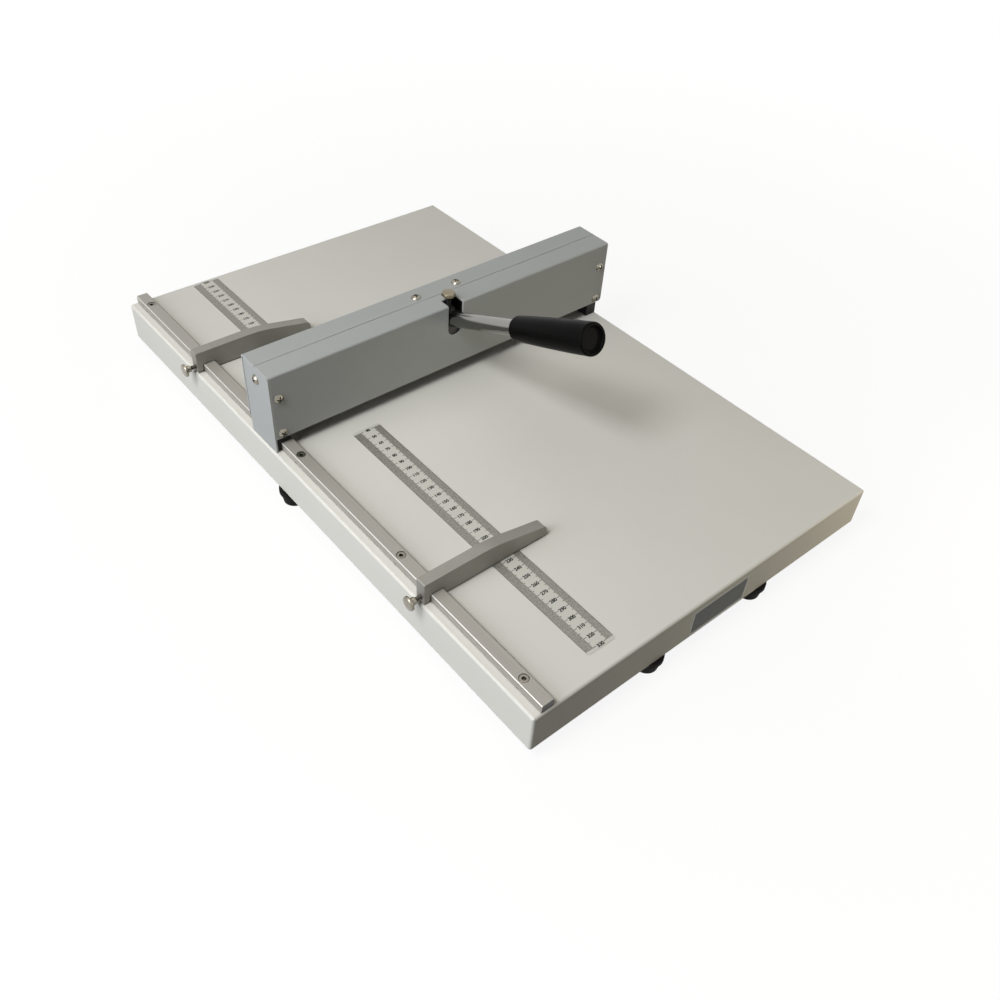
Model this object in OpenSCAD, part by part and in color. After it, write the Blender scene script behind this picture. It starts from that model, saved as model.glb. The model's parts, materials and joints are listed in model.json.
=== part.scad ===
// Desktop paper creasing machine, in millimetres.
// +X is to the operator's right, +Y away from the operator, +Z up.
// The origin is on the floor, under the middle of the table.

/* [Table] */
// Width of the table, left to right
table_w = 372; // [350:1:400]
// Length of the table, front to back
table_l = 605; // [580:1:700]
// Height of the table's folded sides
table_side_h = 36; // [32:1:45]
// Thickness of the table's sheet steel
table_sheet = 1.5; // [1.2:0.1:2]
// Radius of the rounded edges round the table's top
table_edge_r = 2.2; // [2.2:0.1:5]
// Radius of the table's upright corners
table_corner_r = 2.2; // [2.2:0.1:6]
// Width of the flange folded in along the foot of the sides
table_flange_w = 26; // [25:1:34]

/* [Feet] */
// Height of a rubber foot
foot_h = 14; // [12:0.5:20]
// Radius of a foot's flange
foot_r = 12.5; // [11:0.5:13]
// Thickness of a foot's flange
foot_flange_t = 4; // [3:0.5:6]
// Radius of a foot's body under the flange
foot_body_r = 11.6; // [9:0.2:11.8]
// Radius of a foot's sole
foot_sole_r = 9.6; // [8:0.2:11]
// Distance of the front and back feet from the machine's middle line
foot_pair_x = 60; // [40:1:120]
// Distance of the side feet behind the middle of the table
foot_side_y = 18; // [0:1:24]
// Distance of every foot's middle from the side of the table that it stands under
foot_in = 9; // [8:0.5:16]

/* [Beam] */
// Distance of the crease line behind the middle of the table
crease_y = 46.8; // [44:0.2:60]
// Depth of the beam over its covers
beam_d = 41.6; // [41.4:0.2:48]
// Height of the beam's top above the table
beam_h = 77; // [76:0.5:84]
// Height of the covers' lower edges above the table
cover_lift = 13.5; // [11:0.5:14]
// Thickness of the covers' sheet steel
cover_sheet = 1.5; // [1:0.1:1.6]
// Outer radius of the covers' bends
cover_bend_r = 1.8; // [1.8:0.1:4]
// Radius of the covers' lower corners
cover_corner_r = 3; // [1:0.5:5]
// Gap of the seam along the beam's top
cover_seam = 0.5; // [0.3:0.1:1]
// How far the covers reach past the right end plate
cover_past = 3.1; // [0.5:0.1:4]
// Thickness of the end plates
end_plate_t = 1.5; // [1:0.1:2]
// Thickness of an end post, left to right
post_w = 12; // [11.5:0.5:16]
// Distance of the left post from the table's left side
left_post_in = 3.3; // [2.5:0.1:4]
// Distance of the right post from the table's right side
right_post_in = 1.3; // [1:0.1:6]
// Height of the bridge bar between the posts
bridge_h = 14.2; // [13:0.2:14.6]
// Depth of the bridge bar, front to back
bridge_d = 37; // [36:0.2:38]

/* [Creasing tool] */
// Height of the press bar
bar_h = 24.3; // [20:0.1:25]
// Depth of the press bar, front to back
bar_d = 33; // [32:0.1:33.6]
// Thickness of the crease blade
blade_t = 1.2; // [0.8:0.1:1.6]
// How deep the blade sits in the press bar
blade_seat = 9; // [7:0.5:12]
// How far the pressed blade reaches into the die
blade_bite = 0.5; // [0.3:0.1:0.8]
// Width of the lower die
die_w = 8; // [6:0.5:10]
// Height of the lower die
die_h = 6; // [4:0.5:8]
// Height of the bed bar under the table
bed_h = 16; // [12:1:20]
// Depth of the bed bar, front to back
bed_d = 44; // [36:1:50]

/* [Lever] */
// Place of the lever's middle plane, left to right
lever_x = 2.4; // [-20:0.2:20]
// Depth of the lever's pivot under the beam's top
pivot_drop = 25.2; // [24:0.1:26]
// Distance of the pivot behind the crease line
pivot_back = 1.2; // [0.8:0.1:2.5]
// Angle of the resting lever above the level
lever_angle = 23.5; // [22:0.5:26]
// Angle that the lever is pressed down from rest
press_angle = 22; // [18:0.5:22]
// Radius of the lever rod
rod_r = 7; // [6:0.1:7.2]
// Distance from the pivot to the rod's end inside the grip
rod_l = 186; // [160:1:190]
// Distance from the pivot to the grip's near end
grip_start = 112; // [90:1:120]
// Length of the grip
grip_l = 92; // [80:1:120]
// Radius of the grip at its near end
grip_near_r = 10.6; // [9.5:0.1:12]
// Radius of the grip at its far end
grip_far_r = 13.1; // [12:0.1:15]
// Width of the lever's slot in the front cover
slot_w = 16.2; // [15.6:0.2:20]
// Base radius of the hub's cam: travel of the press bar per radian of lever
cam_r = 14; // [12:0.2:14.2]
// Radius of the pivot shaft
shaft_r = 5; // [4:0.1:5.2]

/* [Rail and stops] */
// Width of the guide rail
rail_w = 11; // [10:0.2:14]
// Height of the guide rail
rail_h = 7.4; // [6.6:0.1:7.8]
// Distance of the rail from the table's left side
rail_in = 7.7; // [7.6:0.1:9]
// Distance of the rail's ends from the table's ends
rail_end_in = 1.3; // [0.5:0.1:8]
// Height of a paper stop above the table
stop_h = 21; // [18:0.5:26]
// Thickness of a paper stop, front to back
stop_t = 9.5; // [8:0.5:12]
// Length of a paper stop, left to right
stop_l = 118; // [100:1:140]
// Length of the stop's level top
stop_level_l = 66; // [50:1:70]
// Height of the stop's top where its nose starts
stop_nose_h = 11; // [8:0.5:14]
// Distance from the crease line to the front stop's face
front_stop_at = 217.6; // [60:0.1:300]
// Distance from the crease line to the rear stop's face
rear_stop_at = 115.8; // [60:0.1:200]

/* [Rulers] */
// Width of a ruler's film
scale_w = 26.8; // [20:1:36]
// Distance of the rulers from the table's left side
scale_in = 65.3; // [60:0.1:90]
// First mark of a ruler, counted from the crease line
scale_first = 40; // [40:10:80]
// Least distance from the front ruler's last mark to the table's edge
front_scale_rest = 18; // [8:0.5:40]
// Least distance from the rear ruler's last mark to the table's edge
rear_scale_rest = 5.5; // [4:0.5:40]

/* [Hidden] */
$fn = 48;

// How far every cut runs past the solid that it cuts
overrun = 1;
// Radial clearance of screws, pins and shafts in their holes
fit_gap = 0.05;
// Clearance between flat faces that don't touch
face_gap = 0.3;
// Radius of a four millimetre screw
m4_r = 2;
// Radius and height of a four millimetre socket head
m4_socket_r = 3.5;
m4_socket_h = 4;
// Radius of a five millimetre screw
m5_r = 2.5;
// Radius and height of a five millimetre socket head
m5_socket_r = 4.25;
m5_socket_h = 5;
// Radius of a six millimetre screw
m6_r = 3;
// Radius and height of a six millimetre socket head
m6_socket_r = 5;
m6_socket_h = 6;
// Room round a screw's head in its counterbore
head_room = 0.4;
// Room round a bolt in a through hole
bolt_room = 0.25;
// Radius and height of a cover screw's pan head
pan_head_r = 4.6;
pan_head_h = 2.5;
// Width over the flats and height of a four millimetre nut
nut_flats = 7;
nut_h = 3.2;
// How far a screw's end stands past its nut
screw_past = 1.5;

// Floor to the table's top
top_z = foot_h + table_side_h;
// The table's left and right sides
table_x0 = -table_w / 2;
table_x1 = table_w / 2;
// The underside of the table's top sheet, from the table's top
under_sheet = -table_sheet;

// Posts: outer and inner faces, left to right
left_post_x0 = table_x0 + left_post_in;
left_post_x1 = left_post_x0 + post_w;
right_post_x1 = table_x1 - right_post_in;
right_post_x0 = right_post_x1 - post_w;
// Covers: their ends, left to right
cover_x0 = left_post_x0 - end_plate_t;
cover_x1 = right_post_x1 + end_plate_t + cover_past;
// The beam's half depth outside and inside its covers
cover_y = beam_d / 2;
post_y = cover_y - cover_sheet;
// Height of the posts, which carry the covers' tops
post_h = beam_h - cover_sheet;
// The bridge's underside and mid height
bridge_z0 = post_h - bridge_h;
bridge_mid_z = post_h - bridge_h / 2;
// Bolts from the posts into the bridge: places from the crease line and thread length
bridge_bolt_y = 9;
bridge_bolt_bite = 12;
// Screws of the covers: distances from the covers' ends, lower edges and top, and length
cover_screw_in = 8;
cover_screw_up = 4.9;
cover_screw_drop = 23.2;
cover_screw_low = cover_lift + cover_screw_up;
cover_screw_high = beam_h - cover_screw_drop;
cover_screw_l = 8;
// The same screws from the posts' outer faces
left_screw_x = cover_screw_in - end_plate_t;
right_screw_x = cover_screw_in - end_plate_t - cover_past;
// Screws on the beam's top, from the lever's middle plane and from the crease line
top_screw_x = 22.3;
top_screw_y = 7.5;
// Screw of an end plate: depth under the beam's top
end_screw_drop = 13;
end_screw_h = beam_h - end_screw_drop;
// Gap between an end plate's rear edge and the rear cover
end_plate_gap = 0.9;

// Rail: its sides
rail_x0 = table_x0 + rail_in;
rail_x1 = rail_x0 + rail_w;
rail_mid_x = rail_x0 + rail_w / 2;
rail_half_l = table_l / 2 - rail_end_in;
// Width of the rail's edge chamfer
rail_chamfer = 0.5;
// Places of the rail's screws: from its front end, from its back end and in front of the crease line
rail_screw_front_end = 24.8;
rail_screw_back_end = 21.2;
rail_screw_before = 41.1;
rail_front_screw_y = -rail_half_l + rail_screw_front_end;
rail_beam_screw_y = crease_y - rail_screw_before;
rail_screw_y = [
    rail_front_screw_y,
    (rail_front_screw_y + rail_beam_screw_y) / 2,
    rail_beam_screw_y,
    rail_half_l - rail_screw_back_end
];
// Depth of the rail's counterbores
rail_bore_depth = m4_socket_h + face_gap;
// Half-round notches in the rail's foot: radius and depth
rail_notch_r = 1.3;
rail_notch_depth = 2.8;

// Post bolts: places left to right and front to back, thread length in the post
left_bolt_x = (rail_x0 + left_post_x1) / 2;
right_bolt_x = (right_post_x0 + right_post_x1) / 2;
post_bolt_y = 6.5;
post_bolt_bite = 24;
post_bolt_room = m5_r + bolt_room;

// Lever: height of its pivot above the table, and the press bar's travel
pivot_h = beam_h - pivot_drop;
stroke = cam_r * press_angle * PI / 180;
// Height of the pivot over the cam's resting contact, and the gap left there
cam_drop = 9.4;
cam_gap = 0.08;
// Radius of the hub's round body, its width and the reach of its rod socket
hub_boss_r = 9;
hub_w = 20;
hub_reach = 17;
hub_side_gap = 0.4;
socket_start = 3;
// Wall between the shaft and the rod's end in the hub, and the rod's end from the pivot
rod_wall = 2.4;
rod_start = shaft_r + rod_wall;
// Rolled length of the cam past its last contact, and its nose radius
cam_spare = 0.35;
cam_nose_r = 1.5;
cam_steps = 16;
cam_end = cam_drop + stroke + cam_spare;
// Hub bolt: place from the lever's middle plane and in front of the pivot
hub_bolt_x = -1.7;
hub_bolt_out = 13.5;
hub_bolt_boss_r = 5.5;
hub_bolt_boss_h = 3.2;
hub_bolt_r = 2.5;
hub_bolt_flats = 11;
hub_bolt_head_h = 3.4;
hub_bolt_stand = 4.9;
// Heights at the hub bolt, from the pivot: the rod's middle, the rod's top and the socket's top
bolt_rod_z = hub_bolt_out * tan(lever_angle);
bolt_rod_top = bolt_rod_z + rod_r / cos(lever_angle) + hub_bolt_r * tan(lever_angle);
bolt_boss_top = bolt_rod_top + hub_bolt_boss_h;
bolt_head_z = beam_h + hub_bolt_stand - pivot_h;
// Radius of the hub's cross pin
hub_pin_r = 2;

// Slot in the front cover: its back edge on the top, from the crease line, and its round end
slot_back = pivot_back - hub_bolt_out + hub_bolt_r + face_gap;
slot_drop = 32.2;
// How far the slot's middle is cut to the right of the lever's middle plane
slot_shift = 0.4;
slot_end_z = beam_h - slot_drop;

// Bearing blocks: inner face, width, radius round the shaft, half depth at the top
bearing_in = hub_w / 2 + hub_side_gap;
bearing_w = 24;
bearing_r = 12;
bearing_half_d = 15;
bush_r = 8;
bearing_bolt_in = 18.5;
bearing_bolt_x = bearing_in + bearing_bolt_in;
bearing_bolt_y = 11.6;
bearing_bolt_bite = 9;
// Shaft clips: groove depth, clip thickness and radius, shaft past the clip
clip_depth = 0.8;
clip_t = 1;
clip_r = 8;
shaft_past = 1.6;
clip_x = bearing_in + bearing_w + face_gap;
shaft_half_l = clip_x + clip_t + shaft_past;

// Press bar: ends, top and bottom
bar_end_gap = 1.5;
bar_x0 = left_post_x1 + bar_end_gap;
bar_x1 = right_post_x0 - bar_end_gap;
cam_plate_t = 4;
cam_plate_half_w = hub_w / 2 - hub_side_gap;
cam_plate_back = 7;
cam_plate_z1 = pivot_h - cam_drop - cam_gap;
bar_z1 = cam_plate_z1 - cam_plate_t;
bar_z0 = bar_z1 - bar_h;
// The bar's front and back faces, from the crease line
bar_front = -15;
bar_back = bar_front + bar_d;
// Countersunk screws of the cam plate: places from the crease line, head radius
cam_screw_y = [-5.5, 2.6];
cam_screw_head_r = 3.6;
cam_screw_l = 10;
cam_screw_cone_h = cam_screw_head_r - m4_r;
// Blade: its tip at rest, and its ends
blade_tip_z = stroke - blade_bite;
blade_top_z = bar_z0 + blade_seat;
blade_end_gap = 3.5;
blade_x0 = rail_x1 + blade_end_gap;
blade_x1 = right_post_x0 - blade_end_gap;
// Blade's clamp screws: distance of the last ones from the bar's ends, and height over the bar's foot
bar_mid_x = (bar_x0 + bar_x1) / 2;
blade_screw_in = 50.2;
blade_screw_pitch = (bar_x1 - bar_x0 - 2 * blade_screw_in) / 4;
blade_screw_up = 5;
// Die: width and depth of its groove
die_groove_w = blade_t + 0.8;
die_groove_depth = 1.2;

// Guide pins and springs: distance from the bar's ends and behind the blade, radii and heights
guide_in = 30.2;
guide_x = (bar_x1 - bar_x0) / 2 - guide_in;
guide_y = 9.6;
guide_r = 4;
guide_head_r = 6;
guide_head_h = 3;
guide_head_up = 0.6;
guide_bite = 10;
guide_bush_r = 6;
spring_well_r = 6.6;
spring_well_h = 17;
spring_wire_r = 0.75;
spring_mean_r = 5.2;
spring_turns = 3.5;
spring_seat_gap = 0.1;
guide_head_z1 = bar_z0 + guide_head_up + guide_head_h;
spring_roof_z = bar_z0 + spring_well_h;
spring_steps = 8;
spring_sides = 6;

// Feet: their middles, and the wells for their screws
foot_places = [
    [-foot_pair_x, -table_l / 2 + foot_in], [foot_pair_x, -table_l / 2 + foot_in],
    [-foot_pair_x, table_l / 2 - foot_in], [foot_pair_x, table_l / 2 - foot_in],
    [table_x0 + foot_in, foot_side_y], [table_x1 - foot_in, foot_side_y]
];
foot_well_r = 5.2;
foot_floor_t = 4;
foot_head_r = 3.9;
foot_head_h = 2.4;

// Stops: the lug's thickness, gap under the arm, room over and left of the rail,
// radii of the blend and the nose
lug_w = 5.6;
stop_lift = 0.6;
saddle_over = 0.5;
saddle_side = 0.7;
stop_blend_r = 120;
stop_nose_r = 4;
stop_corner_r = 0.8;
stop_arc_steps = 10;
stop_slope = atan((stop_h - stop_nose_h) / (stop_l - stop_level_l - stop_nose_r));
lug_x0 = rail_x0 - saddle_side - lug_w;
// Clamp screws: free stem, collar, head radius, thickness and edge radius
clamp_stem = 9.1;
clamp_collar_l = 4;
clamp_collar_r = 3.2;
clamp_head_r = 6;
clamp_head_t = 2.6;
clamp_head_edge = 0.9;
clamp_tip_gap = 0.2;
clamp_z = 5;

// Rulers: film thickness, film past the end marks, step of the printed numbers
scale_t = 0.25;
scale_past = 3;
scale_step = 10;
front_scale_last = scale_step * floor((table_l / 2 + crease_y - front_scale_rest) / scale_step);
rear_scale_last = scale_step * floor((table_l / 2 - crease_y - rear_scale_rest) / scale_step);

// Radius of a hexagon's corners from its width over the flats
function hex_r(flats) = flats / (2 * cos(30));

// Point of the cam's involute after a rolled length, at rest, from the pivot
function cam_point(rolled, drop) =
    let (turn = (rolled - cam_drop) / cam_r * 180 / PI)
    [-(cam_r * cos(turn) + drop * sin(turn)), cam_r * sin(turn) - drop * cos(turn)];

// Points of a circular arc
function arc_points(x, y, r, from, to, steps) =
    [for (i = [0 : steps]) let (a = from + (to - from) * i / steps) [x + r * cos(a), y + r * sin(a)]];

// Middle of the spring's wire, and one ring of points round it
function spring_ring(turns_done, z0, rise) = [
    for (k = [0 : spring_sides - 1])
    let (a = 360 * turns_done, b = 360 * k / spring_sides, r = spring_mean_r + spring_wire_r * cos(b))
    [r * cos(a), r * sin(a), z0 + rise * turns_done + spring_wire_r * sin(b)]
];

// Places
module at_crease() translate([0, crease_y, top_z]) children();
module at_pivot() translate([lever_x, crease_y + pivot_back, top_z + pivot_h]) children();
module along_lever() at_pivot() rotate([90 - lever_angle, 0, 0]) children();
module guide_places() for (side = [-1, 1]) guide_place(side) children();
module guide_place(side) translate([bar_mid_x + side * guide_x, guide_y, 0]) children();
// A post's own place: its outer face at X = 0, inwards along +X
module left_post_place() at_crease() translate([left_post_x0, 0, 0]) children();
module right_post_place() at_crease() translate([right_post_x1, 0, 0]) mirror([1, 0, 0]) children();

// A profile drawn in Y and Z, pulled along X
module pull_x(x0, x1) translate([x0, 0, 0]) rotate([90, 0, 90]) linear_extrude(x1 - x0) children();

// A profile drawn in X and Z, pulled along Y
module pull_y(y0, y1) translate([0, y1, 0]) rotate([90, 0, 0]) linear_extrude(y1 - y0) children();

// Round bars along the three axes
module bar_x(r, x0, x1) translate([x0, 0, 0]) rotate([0, 90, 0]) cylinder(r = r, h = x1 - x0);
module bar_y(r, y0, y1) translate([0, y1, 0]) rotate([90, 0, 0]) cylinder(r = r, h = y1 - y0);
module bar_z(r, z0, z1) translate([0, 0, z0]) cylinder(r = r, h = z1 - z0);

// A box between two corners
module block(x, y, z) translate([x[0], y[0], z[0]]) cube([x[1] - x[0], y[1] - y[0], z[1] - z[0]]);

// Section of a bar: square below, its two upper edges chamfered
module bar_section(half_d, z0, z1, chamfer) {
    polygon([[-half_d, z0], [-half_d, z1 - chamfer], [chamfer - half_d, z1],
             [half_d - chamfer, z1], [half_d, z1 - chamfer], [half_d, z0]]);
}

// A rectangle with its four corners rounded
module round_rect(w, l, r) {
    square([w - 2 * r, l], center = true);
    square([w, l - 2 * r], center = true);
    for (i = [-1, 1], j = [-1, 1])
        translate([i * (w / 2 - r), j * (l / 2 - r)]) circle(r);
}

// A rectangle standing on its base, with the two top corners rounded
module arch_rect(w, h, r) {
    translate([-w / 2, 0]) square([w, h - r]);
    translate([-w / 2 + r, 0]) square([w - 2 * r, h]);
    for (i = [-1, 1]) translate([i * (w / 2 - r), h - r]) circle(r);
}

// A tray's outside: rounded corners and rounded top edges
module tray(w, l, h, edge_r, corner_r) {
    intersection() {
        linear_extrude(h) round_rect(w, l, corner_r);
        pull_y(-l / 2, l / 2) arch_rect(w, h, edge_r);
        pull_x(-w / 2, w / 2) arch_rect(l, h, edge_r);
    }
}

// Pan-head screw on its seat at the origin, head along +Z: a domed head and a plain shank
module pan_screw(r, l) {
    dome_r = (pan_head_r * pan_head_r + pan_head_h * pan_head_h) / (2 * pan_head_h);
    intersection() {
        cylinder(r = pan_head_r, h = pan_head_h);
        translate([0, 0, pan_head_h - dome_r]) sphere(dome_r);
    }
    bar_z(r, -l, 0);
}

// Socket-head screw on its seat at the origin, head along +Z
module socket_screw(r, l, head_r, head_h) {
    difference() {
        cylinder(r = head_r, h = head_h);
        translate([0, 0, head_h / 2]) cylinder(r = hex_r(1.6 * r), h = head_h, $fn = 6);
    }
    bar_z(r, -l, 0);
}

// Table: one sheet folded down on four sides and in along the foot
module table_pan() {
    color("#cfccc2") difference() {
        translate([0, 0, foot_h])
            tray(table_w, table_l, table_side_h, table_edge_r, table_corner_r);
        translate([0, 0, foot_h + table_sheet])
            tray(table_w - 2 * table_sheet, table_l - 2 * table_sheet, table_side_h - 2 * table_sheet,
                 table_edge_r - table_sheet, table_corner_r - table_sheet);
        translate([0, 0, foot_h - overrun]) linear_extrude(table_sheet + 2 * overrun)
            square([table_w - 2 * table_flange_w, table_l - 2 * table_flange_w], center = true);
        for (p = foot_places)
            translate(p) bar_z(m4_r + bolt_room, foot_h - overrun, foot_h + table_sheet + overrun);
        at_crease() {
            block([blade_x0 - fit_gap, blade_x1 + fit_gap], [-die_w / 2 - fit_gap, die_w / 2 + fit_gap],
                  [under_sheet - overrun, overrun]);
            post_bolt_places() bar_z(post_bolt_room, under_sheet - overrun, overrun);
        }
        for (y = rail_screw_y)
            translate([rail_mid_x, y, top_z]) bar_z(m4_r + bolt_room, under_sheet - overrun, overrun);
    }
}

// Feet: a flange, a tapered body and a well for the screw's head
module table_feet() {
    color("#161616") for (p = foot_places) translate(p) difference() {
        union() {
            bar_z(foot_r, foot_h - foot_flange_t, foot_h);
            cylinder(r1 = foot_sole_r, r2 = foot_body_r, h = foot_h - foot_flange_t);
        }
        bar_z(foot_well_r, -overrun, foot_h - foot_floor_t);
        bar_z(m4_r + fit_gap, 0, foot_h + overrun);
    }
}

module foot_screws() {
    seat = foot_h - foot_floor_t;
    color("#9a9a96") for (p = foot_places) translate(p) {
        bar_z(foot_head_r, seat - foot_head_h, seat);
        bar_z(m4_r, seat, foot_h + table_sheet + nut_h + screw_past);
    }
}

module foot_nuts() {
    color("#a9a8a2") for (p = foot_places) translate([p[0], p[1], foot_h + table_sheet]) hex_nut();
}

module hex_nut() {
    difference() {
        cylinder(r = hex_r(nut_flats), h = nut_h, $fn = 6);
        bar_z(m4_r + fit_gap, -overrun, nut_h + overrun);
    }
}

// Bed bar: steel under the table's top, grooved for the die
module bed_bar() {
    half_l = table_w / 2 - table_sheet - face_gap;
    color("#5b5c5e") at_crease() difference() {
        pull_y(-bed_d / 2, bed_d / 2)
            bar_section(half_l, under_sheet - bed_h, under_sheet, table_edge_r - table_sheet);
        block([blade_x0 - fit_gap, blade_x1 + fit_gap], [-die_w / 2 - fit_gap, die_w / 2 + fit_gap],
              [-die_h, under_sheet + overrun]);
        post_bolt_places() bar_z(post_bolt_room, under_sheet - bed_h - overrun, overrun);
    }
}

// Die: a hard strip, level with the table, with the crease groove along its middle
module lower_die() {
    color("#8d8e8f") at_crease() difference() {
        block([blade_x0, blade_x1], [-die_w / 2, die_w / 2], [-die_h, 0]);
        block([blade_x0 - overrun, blade_x1 + overrun], [-die_groove_w / 2, die_groove_w / 2],
              [-die_groove_depth, overrun]);
    }
}

// Places of the post bolts, from the crease line on the table's top
module post_bolt_places() {
    for (x = [left_bolt_x, right_bolt_x], side = [-1, 1])
        translate([x, side * post_bolt_y, 0]) children();
}

module post_bolts() {
    seat = under_sheet - bed_h;
    color("#3a3a3a") at_crease() post_bolt_places()
        translate([0, 0, seat]) rotate([180, 0, 0])
            socket_screw(m5_r, post_bolt_bite - seat, m5_socket_r, m5_socket_h);
}

// A post in its own place, with the holes of its screws and bolts
module post_body(bolt_x, screw_x) {
    difference() {
        pull_x(0, post_w) bar_section(post_y, 0, post_h, cover_bend_r - cover_sheet);
        for (side = [-1, 1]) {
            for (z = [cover_screw_low, cover_screw_high])
                translate([screw_x, side * post_y, z]) rotate([90 * side, 0, 0])
                    bar_z(m4_r + fit_gap, -overrun, cover_screw_l);
            translate([0, side * bridge_bolt_y, bridge_mid_z]) {
                bar_x(m6_r + fit_gap, -overrun, post_w + overrun);
                bar_x(m6_socket_r + head_room, -overrun, m6_socket_h);
            }
            translate([bolt_x, side * post_bolt_y, 0]) bar_z(m5_r + fit_gap, -overrun, post_bolt_bite);
        }
        translate([0, 0, end_screw_h]) bar_x(m4_r + fit_gap, -overrun, cover_screw_l);
    }
}

// Left post: its foot is cut away over the rail
module left_post() {
    color("#1d1d1e") difference() {
        left_post_place() post_body(left_bolt_x - left_post_x0, left_screw_x);
        at_crease() block([rail_x0 - face_gap, left_post_x1 + overrun], [-post_y - overrun, post_y + overrun],
                          [-overrun, rail_h + face_gap]);
    }
}

module right_post() {
    color("#1d1d1e") right_post_place() post_body(right_post_x1 - right_bolt_x, right_screw_x);
}

// Bridge: ties the posts' heads together, open at the front for the hub
module bridge() {
    notch_x = hub_w / 2 + overrun;
    color("#2b2b2c") at_crease() difference() {
        pull_x(left_post_x1, right_post_x0)
            bar_section(bridge_d / 2, bridge_z0, post_h, cover_bend_r - cover_sheet);
        translate([lever_x, 0, 0])
            block([-notch_x, notch_x], [-bridge_d / 2 - overrun, hub_boss_r - 2 * overrun + face_gap],
                  [bridge_z0 - overrun, post_h + overrun]);
        for (side = [-1, 1]) translate([0, side * bridge_bolt_y, bridge_mid_z]) {
            bar_x(m6_r + fit_gap, left_post_x1 - overrun, left_post_x1 + bridge_bolt_bite);
            bar_x(m6_r + fit_gap, right_post_x0 - bridge_bolt_bite, right_post_x0 + overrun);
        }
        bearing_bolt_places() {
            bar_z(m5_r + bolt_room, bridge_z0 - overrun, post_h + overrun);
            bar_z(m5_socket_r + head_room, post_h - m5_socket_h - face_gap, post_h + overrun);
        }
        top_screw_places() bar_z(m4_r + fit_gap, post_h - cover_screw_l, post_h + overrun);
        guide_places() bar_z(guide_r + fit_gap, bridge_z0 - overrun, bridge_z0 + guide_bite);
    }
}

module bridge_bolts() {
    color("#3a3a3a") {
        left_post_place() bridge_bolt_pair();
        right_post_place() bridge_bolt_pair();
    }
}

module bridge_bolt_pair() {
    l = post_w - m6_socket_h + bridge_bolt_bite - face_gap;
    for (side = [-1, 1]) translate([m6_socket_h, side * bridge_bolt_y, bridge_mid_z]) rotate([0, -90, 0])
        socket_screw(m6_r, l, m6_socket_r, m6_socket_h);
}

// Bearing block of the lever shaft: hung under the bridge, round below
module bearing_block(side) {
    x0 = side < 0 ? -bearing_in - bearing_w : bearing_in;
    color("#46484a") difference() {
        at_pivot() pull_x(x0, x0 + bearing_w) {
            intersection() {
                circle(bearing_r);
                translate([-bearing_r, -bearing_r]) square([2 * bearing_r, bearing_r]);
            }
            translate([-bearing_half_d, 0]) square([2 * bearing_half_d, bridge_z0 - pivot_h]);
        }
        at_pivot() bar_x(bush_r, x0 - overrun, x0 + bearing_w + overrun);
        at_crease() bearing_bolt_places() bar_z(m5_r + fit_gap, bridge_z0 - bearing_bolt_bite, post_h);
    }
}

module left_bearing_block() bearing_block(-1);
module right_bearing_block() bearing_block(1);

// Bushes of the lever shaft
module bearing_bushes() {
    color("#b08d4f") at_pivot() for (side = [-1, 1]) {
        x0 = side < 0 ? -bearing_in - bearing_w : bearing_in;
        difference() {
            bar_x(bush_r, x0, x0 + bearing_w);
            bar_x(shaft_r + fit_gap, x0 - overrun, x0 + bearing_w + overrun);
        }
    }
}

// Places of the bearing bolts, from the crease line on the table's top
module bearing_bolt_places() {
    for (i = [-1, 1], j = [-1, 1])
        translate([lever_x + i * bearing_bolt_x, pivot_back + j * bearing_bolt_y, 0]) children();
}

module bearing_bolts() {
    seat = post_h - m5_socket_h - face_gap;
    color("#3a3a3a") at_crease() bearing_bolt_places() translate([0, 0, seat])
        socket_screw(m5_r, seat - bridge_z0 + bearing_bolt_bite - face_gap, m5_socket_r, m5_socket_h);
}

// Guide pins: hung from the bridge, their heads carry the return springs
module guide_pins() {
    color("#a4a6a8") at_crease() guide_places() {
        bar_z(guide_r, guide_head_z1, bridge_z0 + guide_bite - face_gap);
        bar_z(guide_head_r, guide_head_z1 - guide_head_h, guide_head_z1);
    }
}

// Return spring: one unbroken wire wound round a guide pin
module return_spring(side) {
    rings = spring_turns * spring_steps;
    z0 = guide_head_z1 + spring_seat_gap + spring_wire_r;
    rise = (spring_roof_z - guide_head_z1 - 2 * spring_seat_gap - 2 * spring_wire_r) / spring_turns;
    points = [for (i = [0 : rings]) each spring_ring(i / spring_steps, z0, rise)];
    last = rings * spring_sides;
    ends = [for (k = [1 : spring_sides - 2]) each [[0, k, k + 1], [last, last + k + 1, last + k]]];
    skin = [for (i = [0 : rings - 1], k = [0 : spring_sides - 1])
        let (a = i * spring_sides + k, b = i * spring_sides + (k + 1) % spring_sides)
        each [[a, a + spring_sides, b], [b, a + spring_sides, b + spring_sides]]];
    color("#8a8c8e") at_crease() guide_place(side) polyhedron(points, concat(skin, ends));
}

module left_return_spring() return_spring(-1);
module right_return_spring() return_spring(1);

// Profile of a cover: down the face and over half of the top, with a bend between
module cover_profile(sheet_in) {
    inset = sheet_in ? cover_sheet : 0;
    r = cover_bend_r - inset;
    low = sheet_in ? cover_lift - overrun : cover_lift;
    near = sheet_in ? -cover_seam / 2 + overrun : -cover_seam / 2;
    y0 = -cover_y + inset;
    z1 = beam_h - inset;
    translate([y0, low]) square([near - y0, z1 - r - low]);
    translate([y0 + r, low]) square([near - y0 - r, z1 - low]);
    translate([y0 + r, z1 - r]) circle(r);
}

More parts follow.
